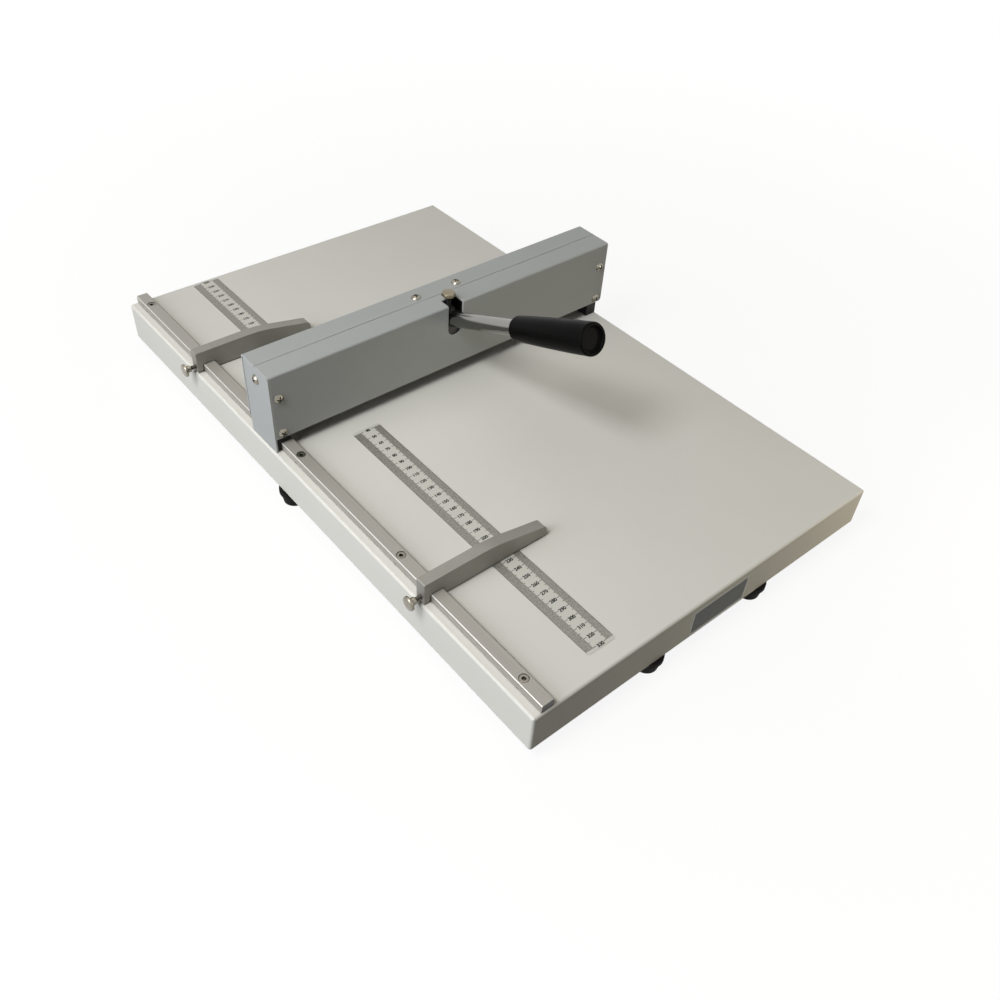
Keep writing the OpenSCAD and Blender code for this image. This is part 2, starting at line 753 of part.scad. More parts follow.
// A cover before its slot: the profile pulled along the beam, lower corners rounded
module cover_shell() {
    difference() {
        pull_x(cover_x0, cover_x1) difference() {
            cover_profile(false);
            cover_profile(true);
        }
        for (x = [cover_x0, cover_x1]) cover_corner(x, x == cover_x0 ? 1 : -1);
        for (x = [cover_x0 + cover_screw_in, cover_x1 - cover_screw_in],
             z = [cover_screw_low, cover_screw_high])
            translate([x, 0, z]) bar_y(m4_r + fit_gap, -cover_y - overrun, -post_y + overrun);
    }
}

// What is cut off a cover's lower corner to round it
module cover_corner(x, side) {
    pull_y(-cover_y - overrun, -post_y + overrun) difference() {
        translate([side < 0 ? x - cover_corner_r : x - overrun, cover_lift - overrun])
            square([cover_corner_r + overrun, cover_corner_r + overrun]);
        translate([x + side * cover_corner_r, cover_lift + cover_corner_r]) circle(cover_corner_r);
    }
}

// Front cover: with the lever's slot, over the bend and down to a round end.
// Its face butts on the left end plate, and its top reaches over the plate
module front_cover() {
    slot_r = slot_w / 2;
    color("#7f827f") at_crease() difference() {
        cover_shell();
        block([cover_x0 - overrun, left_post_x0], [-cover_y - overrun, 0], [0, post_h]);
        translate([lever_x + slot_shift, 0, 0]) {
            pull_y(-cover_y - overrun, -cover_y + cover_bend_r) {
                translate([0, slot_end_z + slot_r]) circle(slot_r);
                translate([-slot_r, slot_end_z + slot_r]) square([slot_w, beam_h - slot_end_z]);
            }
            block([-slot_r, slot_r], [-cover_y - overrun, slot_back],
                  [beam_h - cover_bend_r, beam_h + overrun]);
        }
    }
}

module rear_cover() {
    color("#8b8e8b") at_crease() difference() {
        mirror([0, 1, 0]) cover_shell();
        top_screw_places() bar_z(m4_r + fit_gap, post_h - overrun, beam_h + overrun);
    }
}

// End plate under the covers' tops, from its front edge and its foot up, upper corners rounded
module end_plate(front, foot) {
    r = cover_bend_r;
    depth = post_y - end_plate_gap - front;
    top = post_h - face_gap;
    color("#a9afb1") difference() {
        pull_x(-end_plate_t, 0) {
            translate([front, foot]) square([depth, top - foot - r]);
            translate([front + r, foot]) square([depth - 2 * r, top - foot]);
            for (y = [front + r, front + depth - r]) translate([y, top - r]) circle(r);
        }
        translate([0, 0, end_screw_h]) bar_x(m4_r + fit_gap, -end_plate_t - overrun, overrun);
    }
}

// The left plate is flush with the front cover's face and reaches down to the table
module left_end_plate() left_post_place() end_plate(-cover_y, face_gap);

// The right plate sits inside the covers, as high as they are
module right_end_plate() right_post_place() end_plate(-post_y + face_gap, cover_lift);

// Places of the two screws on the beam's top
module top_screw_places() {
    for (side = [-1, 1]) translate([lever_x + side * top_screw_x, top_screw_y, 0]) children();
}

// All pan-head screws of the covers and the end plates
module cover_screws() {
    color("#b9b6ab") {
        left_post_place() post_screws(left_screw_x);
        right_post_place() post_screws(right_screw_x);
        at_crease() top_screw_places() translate([0, 0, beam_h])
            pan_screw(m4_r, cover_screw_l + cover_sheet - face_gap);
    }
}

module post_screws(screw_x) {
    for (z = [cover_screw_low, cover_screw_high], side = [-1, 1])
        translate([screw_x, side * cover_y, z]) rotate([-90 * side, 0, 0])
            pan_screw(m4_r, cover_screw_l + cover_sheet - face_gap);
    translate([-end_plate_t, 0, end_screw_h]) rotate([0, -90, 0])
        pan_screw(m4_r, cover_screw_l + end_plate_t - face_gap);
}

// Rail: chamfered along the top, counterbored for its screws, notched at its foot
module guide_rail() {
    color("#a5a098") translate([0, 0, top_z]) difference() {
        pull_y(-rail_half_l, rail_half_l) polygon([
            [rail_x0, 0], [rail_x0, rail_h - rail_chamfer], [rail_x0 + rail_chamfer, rail_h],
            [rail_x1 - rail_chamfer, rail_h], [rail_x1, rail_h - rail_chamfer], [rail_x1, 0]
        ]);
        for (y = rail_screw_y) translate([rail_mid_x, y, 0]) {
            bar_z(m4_r + bolt_room, -overrun, rail_h + overrun);
            bar_z(m4_socket_r + head_room, rail_h - rail_bore_depth, rail_h + overrun);
        }
        for (y = rail_screw_y)
            translate([0, y, 0]) bar_x(rail_notch_r, rail_x0 - overrun, rail_x0 + rail_notch_depth);
        translate([0, crease_y, 0]) for (side = [-1, 1])
            translate([left_bolt_x, side * post_bolt_y, 0])
                bar_z(post_bolt_room, -overrun, rail_h + overrun);
    }
}

module rail_screws() {
    seat = rail_h - rail_bore_depth;
    color("#55554f") for (y = rail_screw_y) translate([rail_mid_x, y, top_z + seat])
        socket_screw(m4_r, seat + table_sheet + nut_h + screw_past, m4_socket_r, m4_socket_h);
}

module rail_nuts() {
    color("#a9a8a2") for (y = rail_screw_y)
        translate([rail_mid_x, y, top_z - table_sheet - nut_h]) hex_nut();
}

// Ruler film on the table, from its first mark to its last
module scale_film(y0, y1) {
    x0 = table_x0 + scale_in;
    color("#8f8e85") block([x0, x0 + scale_w], [y0, y1], [top_z, top_z + scale_t]);
}

module front_scale() {
    scale_film(crease_y - front_scale_last - scale_past, crease_y - scale_first + scale_past);
}

module rear_scale() {
    scale_film(crease_y + scale_first - scale_past, crease_y + rear_scale_last + scale_past);
}

// Lever shaft with the clips' grooves
module lever_shaft() {
    color("#b9babb") at_pivot() difference() {
        bar_x(shaft_r, -shaft_half_l, shaft_half_l);
        clip_places() difference() {
            bar_x(shaft_r + overrun, -clip_t / 2 - fit_gap, clip_t / 2 + fit_gap);
            bar_x(shaft_r - clip_depth, -clip_t, clip_t);
        }
        along_lever_here() bar_z(hub_pin_r + fit_gap, -hub_boss_r - overrun, hub_boss_r);
    }
}

// The lever's direction, from the pivot
module along_lever_here() rotate([90 - lever_angle, 0, 0]) children();

// Middles of the two clips, from the pivot
module clip_places() for (side = [-1, 1]) translate([side * (clip_x + clip_t / 2), 0, 0]) children();

// Clips that keep the shaft in its blocks, open on one side
module shaft_clips() {
    color("#303030") at_pivot() clip_places() difference() {
        bar_x(clip_r, -clip_t / 2, clip_t / 2);
        bar_x(shaft_r - clip_depth + fit_gap, -clip_t, clip_t);
        block([-clip_t, clip_t], [0, clip_r + overrun], [-shaft_r / 2, shaft_r / 2]);
    }
}

// Hub: round body on the shaft, socket for the rod, involute cam below and in front
module lever_hub() {
    tip = cam_point(cam_end, cam_end);
    nose = cam_point(cam_end, cam_end - cam_nose_r);
    tip_turn = (cam_end - cam_drop) / cam_r * 180 / PI;
    nose_front = nose + cam_nose_r * [-cos(tip_turn), sin(tip_turn)];
    socket_end = hub_reach * [-cos(lever_angle), sin(lever_angle)];
    cam = [for (i = [0 : cam_steps]) let (s = cam_end * i / cam_steps) cam_point(s, s)];
    color("#2a2a2a") at_pivot() difference() {
        union() {
            pull_x(-hub_w / 2, hub_w / 2) {
                circle(hub_boss_r);
                polygon(concat([[0, 0]], cam, [nose_front, socket_end]));
                translate(nose) circle(cam_nose_r);
            }
            along_lever_here() bar_z(hub_w / 2, socket_start, hub_reach);
            translate([hub_bolt_x, -hub_bolt_out, 0]) bar_z(hub_bolt_boss_r, bolt_rod_z, bolt_boss_top);
        }
        bar_x(shaft_r + fit_gap, -hub_w, hub_w);
        along_lever_here() bar_z(rod_r + fit_gap, rod_start, hub_reach + hub_w);
        along_lever_here() bar_z(hub_pin_r + fit_gap, -hub_boss_r - overrun, rod_start);
        translate([hub_bolt_x, -hub_bolt_out, 0])
            bar_z(hub_bolt_r + fit_gap, bolt_rod_z, bolt_boss_top + overrun);
    }
}

// Cross pin through the hub and the shaft
module hub_pin() {
    color("#8a8c8e") along_lever() bar_z(hub_pin_r, -hub_boss_r + face_gap, rod_start - fit_gap);
}

// Hexagon bolt that holds the rod and stands up through the slot
module hub_bolt() {
    color("#b5ae98") at_pivot() translate([hub_bolt_x, -hub_bolt_out, 0]) {
        bar_z(hub_bolt_r, bolt_rod_top + fit_gap, bolt_head_z);
        intersection() {
            translate([0, 0, bolt_head_z]) rotate(30)
                cylinder(r = hex_r(hub_bolt_flats), h = hub_bolt_head_h, $fn = 6);
            bolt_chamfer();
        }
    }
}

// Cone that breaks the upper corners of the bolt's head
module bolt_chamfer() {
    corner = hex_r(hub_bolt_flats);
    translate([0, 0, bolt_head_z])
        cylinder(r1 = corner + hub_bolt_head_h, r2 = corner - hub_bolt_head_h / 8, h = hub_bolt_head_h);
}

// Rod, with its ends broken
module lever_rod() {
    chamfer = rod_r / 8;
    color("#c9cacb") along_lever() {
        bar_z(rod_r, rod_start + fit_gap + chamfer, rod_l - chamfer);
        translate([0, 0, rod_start + fit_gap]) cylinder(r1 = rod_r - chamfer, r2 = rod_r, h = chamfer);
        translate([0, 0, rod_l - chamfer]) cylinder(r1 = rod_r, r2 = rod_r - chamfer, h = chamfer);
    }
}

// Half section of the grip: rounded near end, a swelling taper, a lip round a hollow end
module grip_section() {
    end_r = grip_near_r / 3;
    lip_r = grip_far_r / 8;
    hollow_r = grip_far_r - 3 * lip_r;
    hollow_depth = 2 * lip_r;
    near = arc_points(grip_near_r - end_r, end_r, end_r, -90, 0, stop_arc_steps);
    swell = [for (i = [1 : stop_arc_steps])
        let (u = i / stop_arc_steps)
        [grip_near_r + (grip_far_r - grip_near_r) * sin(90 * u), end_r + (grip_l - end_r - lip_r) * u]];
    lip = arc_points(grip_far_r - lip_r, grip_l - lip_r, lip_r, 0, 180, stop_arc_steps);
    polygon(concat([[0, 0]], near, swell, lip,
                   [[hollow_r + lip_r, grip_l - hollow_depth + lip_r / 2], [hollow_r, grip_l - hollow_depth],
                    [0, grip_l - hollow_depth]]));
}

module lever_grip() {
    color("#232321") along_lever() translate([0, 0, grip_start]) difference() {
        rotate_extrude() grip_section();
        bar_z(rod_r + fit_gap, -overrun, rod_l - grip_start + face_gap);
    }
}

// Press bar: bored for its guides, grooved for the blade
module press_bar() {
    color("#6d6f71") at_crease() difference() {
        block([bar_x0, bar_x1], [bar_front, bar_back], [bar_z0, bar_z1]);
        block([bar_x0 - overrun, bar_x1 + overrun], [-blade_t / 2 - fit_gap, blade_t / 2 + fit_gap],
              [bar_z0 - overrun, blade_top_z + face_gap]);
        guide_places() {
            bar_z(guide_bush_r, spring_roof_z - overrun, bar_z1 + overrun);
            bar_z(spring_well_r, bar_z0 - overrun, spring_roof_z);
        }
        blade_screw_places() bar_y(m5_r + fit_gap, 0, bar_back + overrun);
        for (y = cam_screw_y) translate([lever_x, y, 0])
            bar_z(m4_r + fit_gap, cam_plate_z1 - cam_screw_l, bar_z1 + overrun);
    }
}

// Bushes of the guide pins, let into the press bar
module guide_bushes() {
    color("#b08d4f") at_crease() guide_places() difference() {
        bar_z(guide_bush_r, spring_roof_z, bar_z1);
        bar_z(guide_r + fit_gap, spring_roof_z - overrun, bar_z1 + overrun);
    }
}

// Hard plate that the cam presses
module cam_plate() {
    color("#9b9c9d") at_crease() difference() {
        translate([lever_x, 0, 0])
            block([-cam_plate_half_w, cam_plate_half_w], [bar_front, cam_plate_back], [bar_z1, cam_plate_z1]);
        for (y = cam_screw_y) translate([lever_x, y, 0]) {
            bar_z(m4_r + fit_gap, bar_z1 - overrun, cam_plate_z1 + overrun);
            translate([0, 0, cam_plate_z1 - cam_screw_cone_h])
                cylinder(r1 = m4_r + fit_gap, r2 = cam_screw_head_r + fit_gap, h = cam_screw_cone_h);
        }
    }
}

module cam_plate_screws() {
    color("#3a3a3a") at_crease() for (y = cam_screw_y)
        translate([lever_x, y, cam_plate_z1 - cam_screw_cone_h]) {
            cylinder(r1 = m4_r, r2 = cam_screw_head_r, h = cam_screw_cone_h);
            bar_z(m4_r, -cam_screw_l + cam_screw_cone_h + face_gap, 0);
        }
}

// Crease blade: a rule with a round edge
module crease_blade() {
    color("#b4b6b8") at_crease() pull_x(blade_x0, blade_x1) {
        translate([0, blade_tip_z + blade_t / 2]) {
            circle(blade_t / 2);
            translate([-blade_t / 2, 0]) square([blade_t, blade_top_z - blade_tip_z - blade_t / 2]);
        }
    }
}

// Places of the blade's clamp screws along the press bar
module blade_screw_places() {
    for (i = [-2 : 2]) translate([bar_mid_x + i * blade_screw_pitch, 0, bar_z0 + blade_screw_up]) children();
}

module blade_screws() {
    color("#3a3a3a") at_crease() blade_screw_places() difference() {
        bar_y(m5_r, blade_t / 2 + fit_gap, bar_back - face_gap);
        translate([0, bar_back, 0]) rotate([90, 0, 0])
            cylinder(r = hex_r(m5_r), h = m5_r + face_gap, $fn = 6);
    }
}

// Outline of a paper stop: lug, saddle over the rail, level arm, blend, slope and nose
module stop_outline() {
    x0 = lug_x0;
    x1 = lug_x0 + stop_l;
    foot = stop_lift;
    bend_x = x0 + stop_level_l;
    half = stop_blend_r * tan(stop_slope / 2);
    slope = 90 - stop_slope;
    blend = arc_points(bend_x - half, stop_h - stop_blend_r, stop_blend_r, 90, slope, stop_arc_steps);
    nose = arc_points(x1 - stop_nose_r, stop_nose_h - stop_nose_r, stop_nose_r, slope, 0, stop_arc_steps);
    corner = arc_points(x0 + stop_corner_r, stop_h - stop_corner_r, stop_corner_r, 180, 90, stop_arc_steps);
    polygon(concat([[x0, foot]], corner, blend, nose,
                   [[x1, foot], [rail_x1 + face_gap, foot], [rail_x1 + face_gap, rail_h + saddle_over],
                    [rail_x0 - saddle_side, rail_h + saddle_over], [rail_x0 - saddle_side, foot]]));
}

// A stop whose front side is at y0
module paper_stop(y0) {
    color("#948f86") difference() {
        translate([0, 0, top_z]) pull_y(y0, y0 + stop_t) stop_outline();
        translate([0, y0 + stop_t / 2, top_z + clamp_z])
            bar_x(m4_r + fit_gap, lug_x0 - overrun, rail_x0);
    }
}

// Clamp screw in a stop's lug: thread, collar and a thin head with a rounded edge
module clamp_screw(y0) {
    r = clamp_head_edge;
    edge = clamp_head_r - r;
    color("#bdb9ae") translate([lug_x0 - clamp_stem, y0 + stop_t / 2, top_z + clamp_z]) {
        bar_x(m4_r, -r, clamp_stem + rail_x0 - lug_x0 - clamp_tip_gap);
        bar_x(clamp_collar_r, -r, clamp_collar_l);
        rotate([0, -90, 0]) rotate_extrude() polygon(concat(
            [[0, 0]], arc_points(edge, r, r, -90, 0, stop_arc_steps),
            arc_points(edge, clamp_head_t - r, r, 0, 90, stop_arc_steps), [[0, clamp_head_t]]));
    }
}

module front_stop() paper_stop(crease_y - front_stop_at - stop_t);
module rear_stop() paper_stop(crease_y + rear_stop_at);
module front_clamp_screw() clamp_screw(crease_y - front_stop_at - stop_t);
module rear_clamp_screw() clamp_screw(crease_y + rear_stop_at);

table_pan();
table_feet();
foot_screws();
foot_nuts();
bed_bar();
lower_die();
left_post();
right_post();
post_bolts();
bridge();
bridge_bolts();
left_bearing_block();
right_bearing_block();
bearing_bushes();
bearing_bolts();
guide_pins();
left_return_spring();
right_return_spring();
front_cover();
rear_cover();
left_end_plate();
right_end_plate();
cover_screws();
guide_rail();
rail_screws();
rail_nuts();
front_scale();
rear_scale();
lever_shaft();
shaft_clips();
lever_hub();
hub_pin();
hub_bolt();
lever_rod();
lever_grip();
press_bar();
cam_plate();
cam_plate_screws();
guide_bushes();
crease_blade();
blade_screws();
front_stop();
rear_stop();
front_clamp_screw();
rear_clamp_screw();
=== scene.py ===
# %% [markdown]
# A desktop paper creaser, dressed in Blender.
# The real machine is a folded steel table, a covered beam with a press lever, an aluminium rail with two
# stops, and two printed rulers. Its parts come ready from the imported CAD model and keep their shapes.
# Blender adds what CAD leaves out: finishes, the rulers' films with their printed marks, a blank plate,
# screw threads and Phillips recesses. Everything is in metres: +X to the operator's right, +Y away, +Z up.

import json
import math
from collections import namedtuple

import bmesh
import bpy
import numpy as np
from mathutils import Matrix, Vector


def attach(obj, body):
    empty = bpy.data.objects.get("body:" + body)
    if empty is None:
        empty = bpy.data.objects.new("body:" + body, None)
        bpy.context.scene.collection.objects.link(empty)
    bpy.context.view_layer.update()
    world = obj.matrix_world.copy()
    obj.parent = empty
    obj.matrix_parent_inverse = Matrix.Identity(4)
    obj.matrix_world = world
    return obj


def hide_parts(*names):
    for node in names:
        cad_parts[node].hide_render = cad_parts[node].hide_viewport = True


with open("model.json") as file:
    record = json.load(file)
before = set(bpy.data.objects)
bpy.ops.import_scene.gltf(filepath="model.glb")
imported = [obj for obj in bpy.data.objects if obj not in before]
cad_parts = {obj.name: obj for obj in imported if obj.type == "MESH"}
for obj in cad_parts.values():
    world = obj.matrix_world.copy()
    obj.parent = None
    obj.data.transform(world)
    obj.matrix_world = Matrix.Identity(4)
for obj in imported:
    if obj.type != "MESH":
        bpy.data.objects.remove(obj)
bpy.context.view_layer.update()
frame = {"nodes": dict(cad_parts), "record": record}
nodes = frame["nodes"]

# %% [markdown]
# Sizes are written in millimetres, as on a drawing, and turned to metres by one factor. The places below
# are the machine's own: the table's top, the crease line, the lever's middle plane and the covered beam.

# %% Sizes that several pieces share
MM = 0.001
TABLE_TOP = 50.0
CREASE_Y = 46.8
LEVER_X = 2.4
BEAM_HALF_DEPTH = 20.8
BEAM_TOP = 127.0


def at(x, y, z):
    """A point given in millimetres, in metres."""
    return Vector((x * MM, y * MM, z * MM))


print("table top at", TABLE_TOP, "mm, beam top at", BEAM_TOP, "mm")

# %% [markdown]
# The camera stands where the photographer stood: to the left and in front of the machine, looking down
# at 44 degrees. Its place and its three directions come from fitting a pinhole camera to the ruler's marks
# and the table's corners. The focal length in pixels becomes a lens in millimetres over a 36 mm sensor.

# %% Camera
FOCAL_PX = 979.93
IMAGE_PX = 1000
SENSOR_MM = 36
CAMERA_AT = Vector((-0.4587, -0.5486, 0.5984))
CAMERA_RIGHT = Vector((0.76768, -0.63849, 0.0547))
CAMERA_UP = Vector((0.41265, 0.55783, 0.7201))
CAMERA_BACK = Vector((-0.49029, -0.53024, 0.69171))

camera_data = bpy.data.cameras.new("camera")
camera_data.sensor_width = SENSOR_MM
camera_data.lens = SENSOR_MM * FOCAL_PX / IMAGE_PX
camera = bpy.data.objects.new("camera", camera_data)
camera_turn = Matrix((CAMERA_RIGHT, CAMERA_UP, CAMERA_BACK)).transposed().to_4x4()
camera.matrix_world = Matrix.Translation(CAMERA_AT) @ camera_turn
bpy.context.scene.collection.objects.link(camera)
bpy.context.scene.camera = camera
bpy.context.scene.view_settings.view_transform = "Standard"
print("camera with a lens of", round(camera_data.lens, 2), "mm")

# %% [markdown]
# Materials are node trees, so one small function adds a node with its settings and its links, and three
# more write the sums that come back in every tree: a calculation, a ramp and a mix of two colours.
# Colours are picked as sRGB hex values, the way a screen shows them, and the shader wants linear light.

# %% Nodes and colours
def linear(hex_colour):
    """Linear RGBA of an sRGB hex value such as #CECCC2."""
    channels = [int(hex_colour[i:i + 2], 16) / 255 for i in (1, 3, 5)]
    return tuple(c / 12.92 if c <= 0.04045 else ((c + 0.055) / 1.055) ** 2.4 for c in channels) + (1.0,)


def add_node(tree, kind, inputs=None, **settings):
    """Adds a node: settings are its properties, inputs its sockets' values or the sockets they come from."""
    made = tree.nodes.new(kind)
    for name, value in settings.items():
        setattr(made, name, value)
    for name, value in (inputs or {}).items():
        if isinstance(value, bpy.types.NodeSocket):
            tree.links.new(value, made.inputs[name])
        else:
            made.inputs[name].default_value = value
    return made


def calculated(tree, operation, *values):
    """The result of one calculation on numbers or sockets."""
    return add_node(tree, "ShaderNodeMath", dict(enumerate(values)), operation=operation).outputs[0]


def ramp(tree, value, start, end, low=0.0, high=1.0):
    """Goes from low to high while value goes from start to end, and no further."""
    inputs = {"Value": value, "From Min": start, "From Max": end, "To Min": low, "To Max": high}
    return add_node(tree, "ShaderNodeMapRange", inputs).outputs["Result"]


def colour_mix(tree, share, first, second):
    """The first colour where share is 0 and the second where it is 1, each a hex value or a socket."""
    ends = [linear(colour) if isinstance(colour, str) else colour for colour in (first, second)]
    mix = add_node(tree, "ShaderNodeMix", {0: share, 6: ends[0], 7: ends[1]}, data_type="RGBA")
    return mix.outputs[2]


print("helpers for node trees, mid grey #808080 is", round(linear("#808080")[0], 3), "in linear light")

# %% [markdown]
# The surroundings are white to the camera and in reflections, so that metal shows a white studio. As a lamp
# they are almost dark, because the shadows in the photograph are deep: the lamps do the lighting.

# %% World
AMBIENT = 0.02


def seen_directly(tree):
    """1 where a camera, mirror or glass ray looks at the surface, 0 where it only lights other surfaces."""
    path = add_node(tree, "ShaderNodeLightPath").outputs
    mirror_or_glass = calculated(tree, "MAXIMUM", path["Is Glossy Ray"], path["Is Transmission Ray"])
    return calculated(tree, "MAXIMUM", path["Is Camera Ray"], mirror_or_glass)


world = bpy.data.worlds.new("studio")
world.use_nodes = True
bpy.context.scene.world = world
world_tree = world.node_tree
background = world_tree.nodes["Background"]
background.inputs["Color"].default_value = (1, 1, 1, 1)
world_strength = ramp(world_tree, seen_directly(world_tree), 0.0, 1.0, AMBIENT, 1.0)
world_tree.links.new(world_strength, background.inputs["Strength"])
print("white surroundings that light the object at", AMBIENT)

# %% [markdown]
# Four soft lamps. A wide one stands low on the left and makes the table's long side the brightest face.
# The second is smaller and stands about 50 degrees up, where the lever's shadow in the photograph points
# back to; it also draws the thin dark line beside the rail. The widest, a warm one, hangs above. A small
# one near the floor lifts the right end of the front side, as light back from a wooden floor would.

# %% Lamps
# Name, place in metres, side in metres, light, colour
LAMPS = (
    ("left_softbox", (-1.6, 0.05, 0.6), 1.2, 0.65, (0.98, 1.0, 1.06)),
    ("key_softbox", (-1.0, -0.2, 1.4), 0.5, 0.63, (0.985, 1.0, 1.03)),
    ("top_softbox", (-0.2, 0.3, 1.9), 1.8, 0.24, (1.12, 1.0, 0.84)),
    ("right_bounce", (0.38, -0.56, 0.1), 0.2, 0.14, (1.13, 1.0, 0.78)),
)

# Watts that make a white sheet shine at 1 when it faces an area lamp a metre away
WATTS_AT_A_METRE = math.pi ** 2


def lamp(name, place, side, light, colour):
    """Square area lamp; light is how bright it makes a white face at the table's middle that looks at it."""
    way = at(0, 0, TABLE_TOP) - Vector(place)
    data = bpy.data.lights.new(name, "AREA")
    data.size = side
    data.color = colour
    data.energy = light * WATTS_AT_A_METRE * way.length ** 2
    made = bpy.data.objects.new(name, data)
    made.location = place
    made.rotation_mode = "QUATERNION"
    made.rotation_quaternion = way.to_track_quat("-Z", "Y")
    bpy.context.scene.collection.objects.link(made)
    print(name, "at", round(way.length, 2), "m,", round(data.energy, 1), "W")


for lamp_row in LAMPS:
    lamp(*lamp_row)

# %% [markdown]
# The floor is a wide sheet that takes the soft shadow under the machine. Most of its brightness is a glow
# that is there only for the eye, over a grey that the lamps light. The glow grows away from the machine, so
# that the sheet meets the background without an edge.

# %% Floor
FLOOR_SIZE = 8.0
FLOOR_COLOUR = "#555552"
FLOOR_ROUGHNESS = 0.9
GLOW_NEAR = 0.90
GLOW_FAR = 1.0
GLOW_FROM = 0.35
GLOW_TO = 1.3


def floor_finish():
    """Matt studio sheet with its glow."""
    material = bpy.data.materials.new("studio_sheet")
    material.use_nodes = True
    tree = material.node_tree
    paper = tree.nodes["Principled BSDF"]
    paper.inputs["Base Color"].default_value = linear(FLOOR_COLOUR)
    paper.inputs["Roughness"].default_value = FLOOR_ROUGHNESS
    paper.inputs["Specular IOR Level"].default_value = 0.0
    paper.inputs["Emission Color"].default_value = (1, 1, 1, 1)
    place = add_node(tree, "ShaderNodeTexCoord").outputs["Object"]
    distance = add_node(tree, "ShaderNodeVectorMath", {0: place}, operation="LENGTH").outputs["Value"]
    glow = ramp(tree, distance, GLOW_FROM, GLOW_TO, GLOW_NEAR, GLOW_FAR)
    seen = calculated(tree, "MULTIPLY", seen_directly(tree), glow)
    tree.links.new(seen, paper.inputs["Emission Strength"])
    return material


floor_mesh = bpy.data.meshes.new("floor")
half = FLOOR_SIZE / 2
floor_corners = [(-half, -half, 0), (half, -half, 0), (half, half, 0), (-half, half, 0)]
floor_mesh.from_pydata(floor_corners, [], [(0, 1, 2, 3)])
floor = bpy.data.objects.new("floor", floor_mesh)
floor_mesh.materials.append(floor_finish())
bpy.context.scene.collection.objects.link(floor)
print("floor", FLOOR_SIZE, "m wide")

# %% [markdown]
# Every finish starts the same way: a Principled shader, the object's own coordinates in metres, a colour
# that drifts a little over the surface, a roughness that drifts with it, and a fine relief. Only the
# numbers and the shape of the pattern change from finish to finish. A pattern's scale is one over its grain
# in metres. No real edge is perfectly sharp, so the shading also rounds every edge by a few tenths of a
# millimetre, and the light catches it. The colour is also darkened in gaps and corners, where other
# surfaces stand close by: this is painted shade.

# %% The start of a finish
EDGE_MM = 0.3
EDGE_SAMPLES = 4
CORNER_SHADE_SAMPLES = 6
# Colour of the painted shade in gaps and corners
CORNER_SHADE_COLOUR = "#1E1C18"

# Reach in mm to the other surface, and the shares of free view at which the painted shade is full and at
# which it ends
CornerShade = namedtuple("CornerShade", "reach_mm full ends")
LIGHT_CORNER_SHADE = CornerShade(2.5, 0.25, 0.6)


def grain(millimetres):
    """Pattern scale whose grains are that wide."""
    return 1 / (millimetres * MM)


def noise(tree, place, grain_mm, detail):
    """Soft random pattern from 0 to 1."""
    inputs = {"Vector": place, "Scale": grain(grain_mm), "Detail": detail}
    return add_node(tree, "ShaderNodeTexNoise", inputs).outputs["Fac"]


def new_finish(name, metallic, **sockets):
    """A material with its shader's uniform values set; returns it with its tree, shader and coordinates."""
    material = bpy.data.materials.new(name)
    material.use_nodes = True
    tree = material.node_tree
    shader = tree.nodes["Principled BSDF"]
    shader.inputs["Metallic"].default_value = metallic
    for socket, value in sockets.items():
        shader.inputs[socket.replace("_", " ")].default_value = value
    place = add_node(tree, "ShaderNodeTexCoord").outputs["Object"]
    return material, tree, shader, place


def grimy(tree, colour, corner_shade):
    """The colour, darkened by painted shade where other surfaces stand close by."""
    view = add_node(tree, "ShaderNodeAmbientOcclusion", {"Distance": corner_shade.reach_mm * MM},
                    samples=CORNER_SHADE_SAMPLES)
    unshaded = ramp(tree, view.outputs["AO"], corner_shade.full, corner_shade.ends)
    return colour_mix(tree, unshaded, CORNER_SHADE_COLOUR, colour)


def drifting(tree, shader, place, colours, roughness, patch_mm, corner_shade=LIGHT_CORNER_SHADE):
    """Colour and roughness wander between two values over patches of that size, and the colour gets painted
    shade in gaps and corners; returns the colour.
    """
    patches = noise(tree, place, patch_mm, detail=4.0)
    colour = grimy(tree, colour_mix(tree, patches, *colours), corner_shade)
    tree.links.new(colour, shader.inputs["Base Color"])
    tree.links.new(ramp(tree, patches, 0.0, 1.0, *roughness), shader.inputs["Roughness"])
    return colour


def rounded_normal(tree, radius_mm):
    """The surface's direction as if its edges had that radius."""
    bevel = add_node(tree, "ShaderNodeBevel", {"Radius": radius_mm * MM}, samples=EDGE_SAMPLES)
    return bevel.outputs["Normal"]


def relief(tree, shader, height, depth_mm, edge_mm=EDGE_MM):
    """Bump from a height of 0 to 1 that stands for that many millimetres, on edges rounded by edge_mm."""
    inputs = {"Height": height, "Distance": depth_mm * MM, "Normal": rounded_normal(tree, edge_mm)}
    bump = add_node(tree, "ShaderNodeBump", inputs)
    tree.links.new(bump.outputs["Normal"], shader.inputs["Normal"])


finishes = {}
# Reach of the painted shade in gaps and corners
print("edges rounded by", EDGE_MM, "mm, painted shade within", LIGHT_CORNER_SHADE.reach_mm, "mm")

# %% [markdown]
# Powder coat is a plastic paint, sprayed dry on the steel and baked. It flows out to a satin skin with
# a faint orange peel, waves about a millimetre and a half wide and a hundredth high. The powder draws
# back from sharp edges, and the edges catch the light, so a lighter line is painted along them: partly the
# thinner paint, partly a painted highlight. The angle between the true face and its rounded edge tells the
# shader where that is. The paint is dulled, so it mirrors less than clear plastic.

# %% Powder-coated sheet steel
PEEL_MM = 1.6
PEEL_DEPTH_MM = 0.012
COAT_PATCH_MM = 70
COAT_EDGE_MM = 0.7

# Cosines of that angle where the lighter line begins and where it is full
LINE_BEGINS = 0.995
LINE_FULL = 0.90


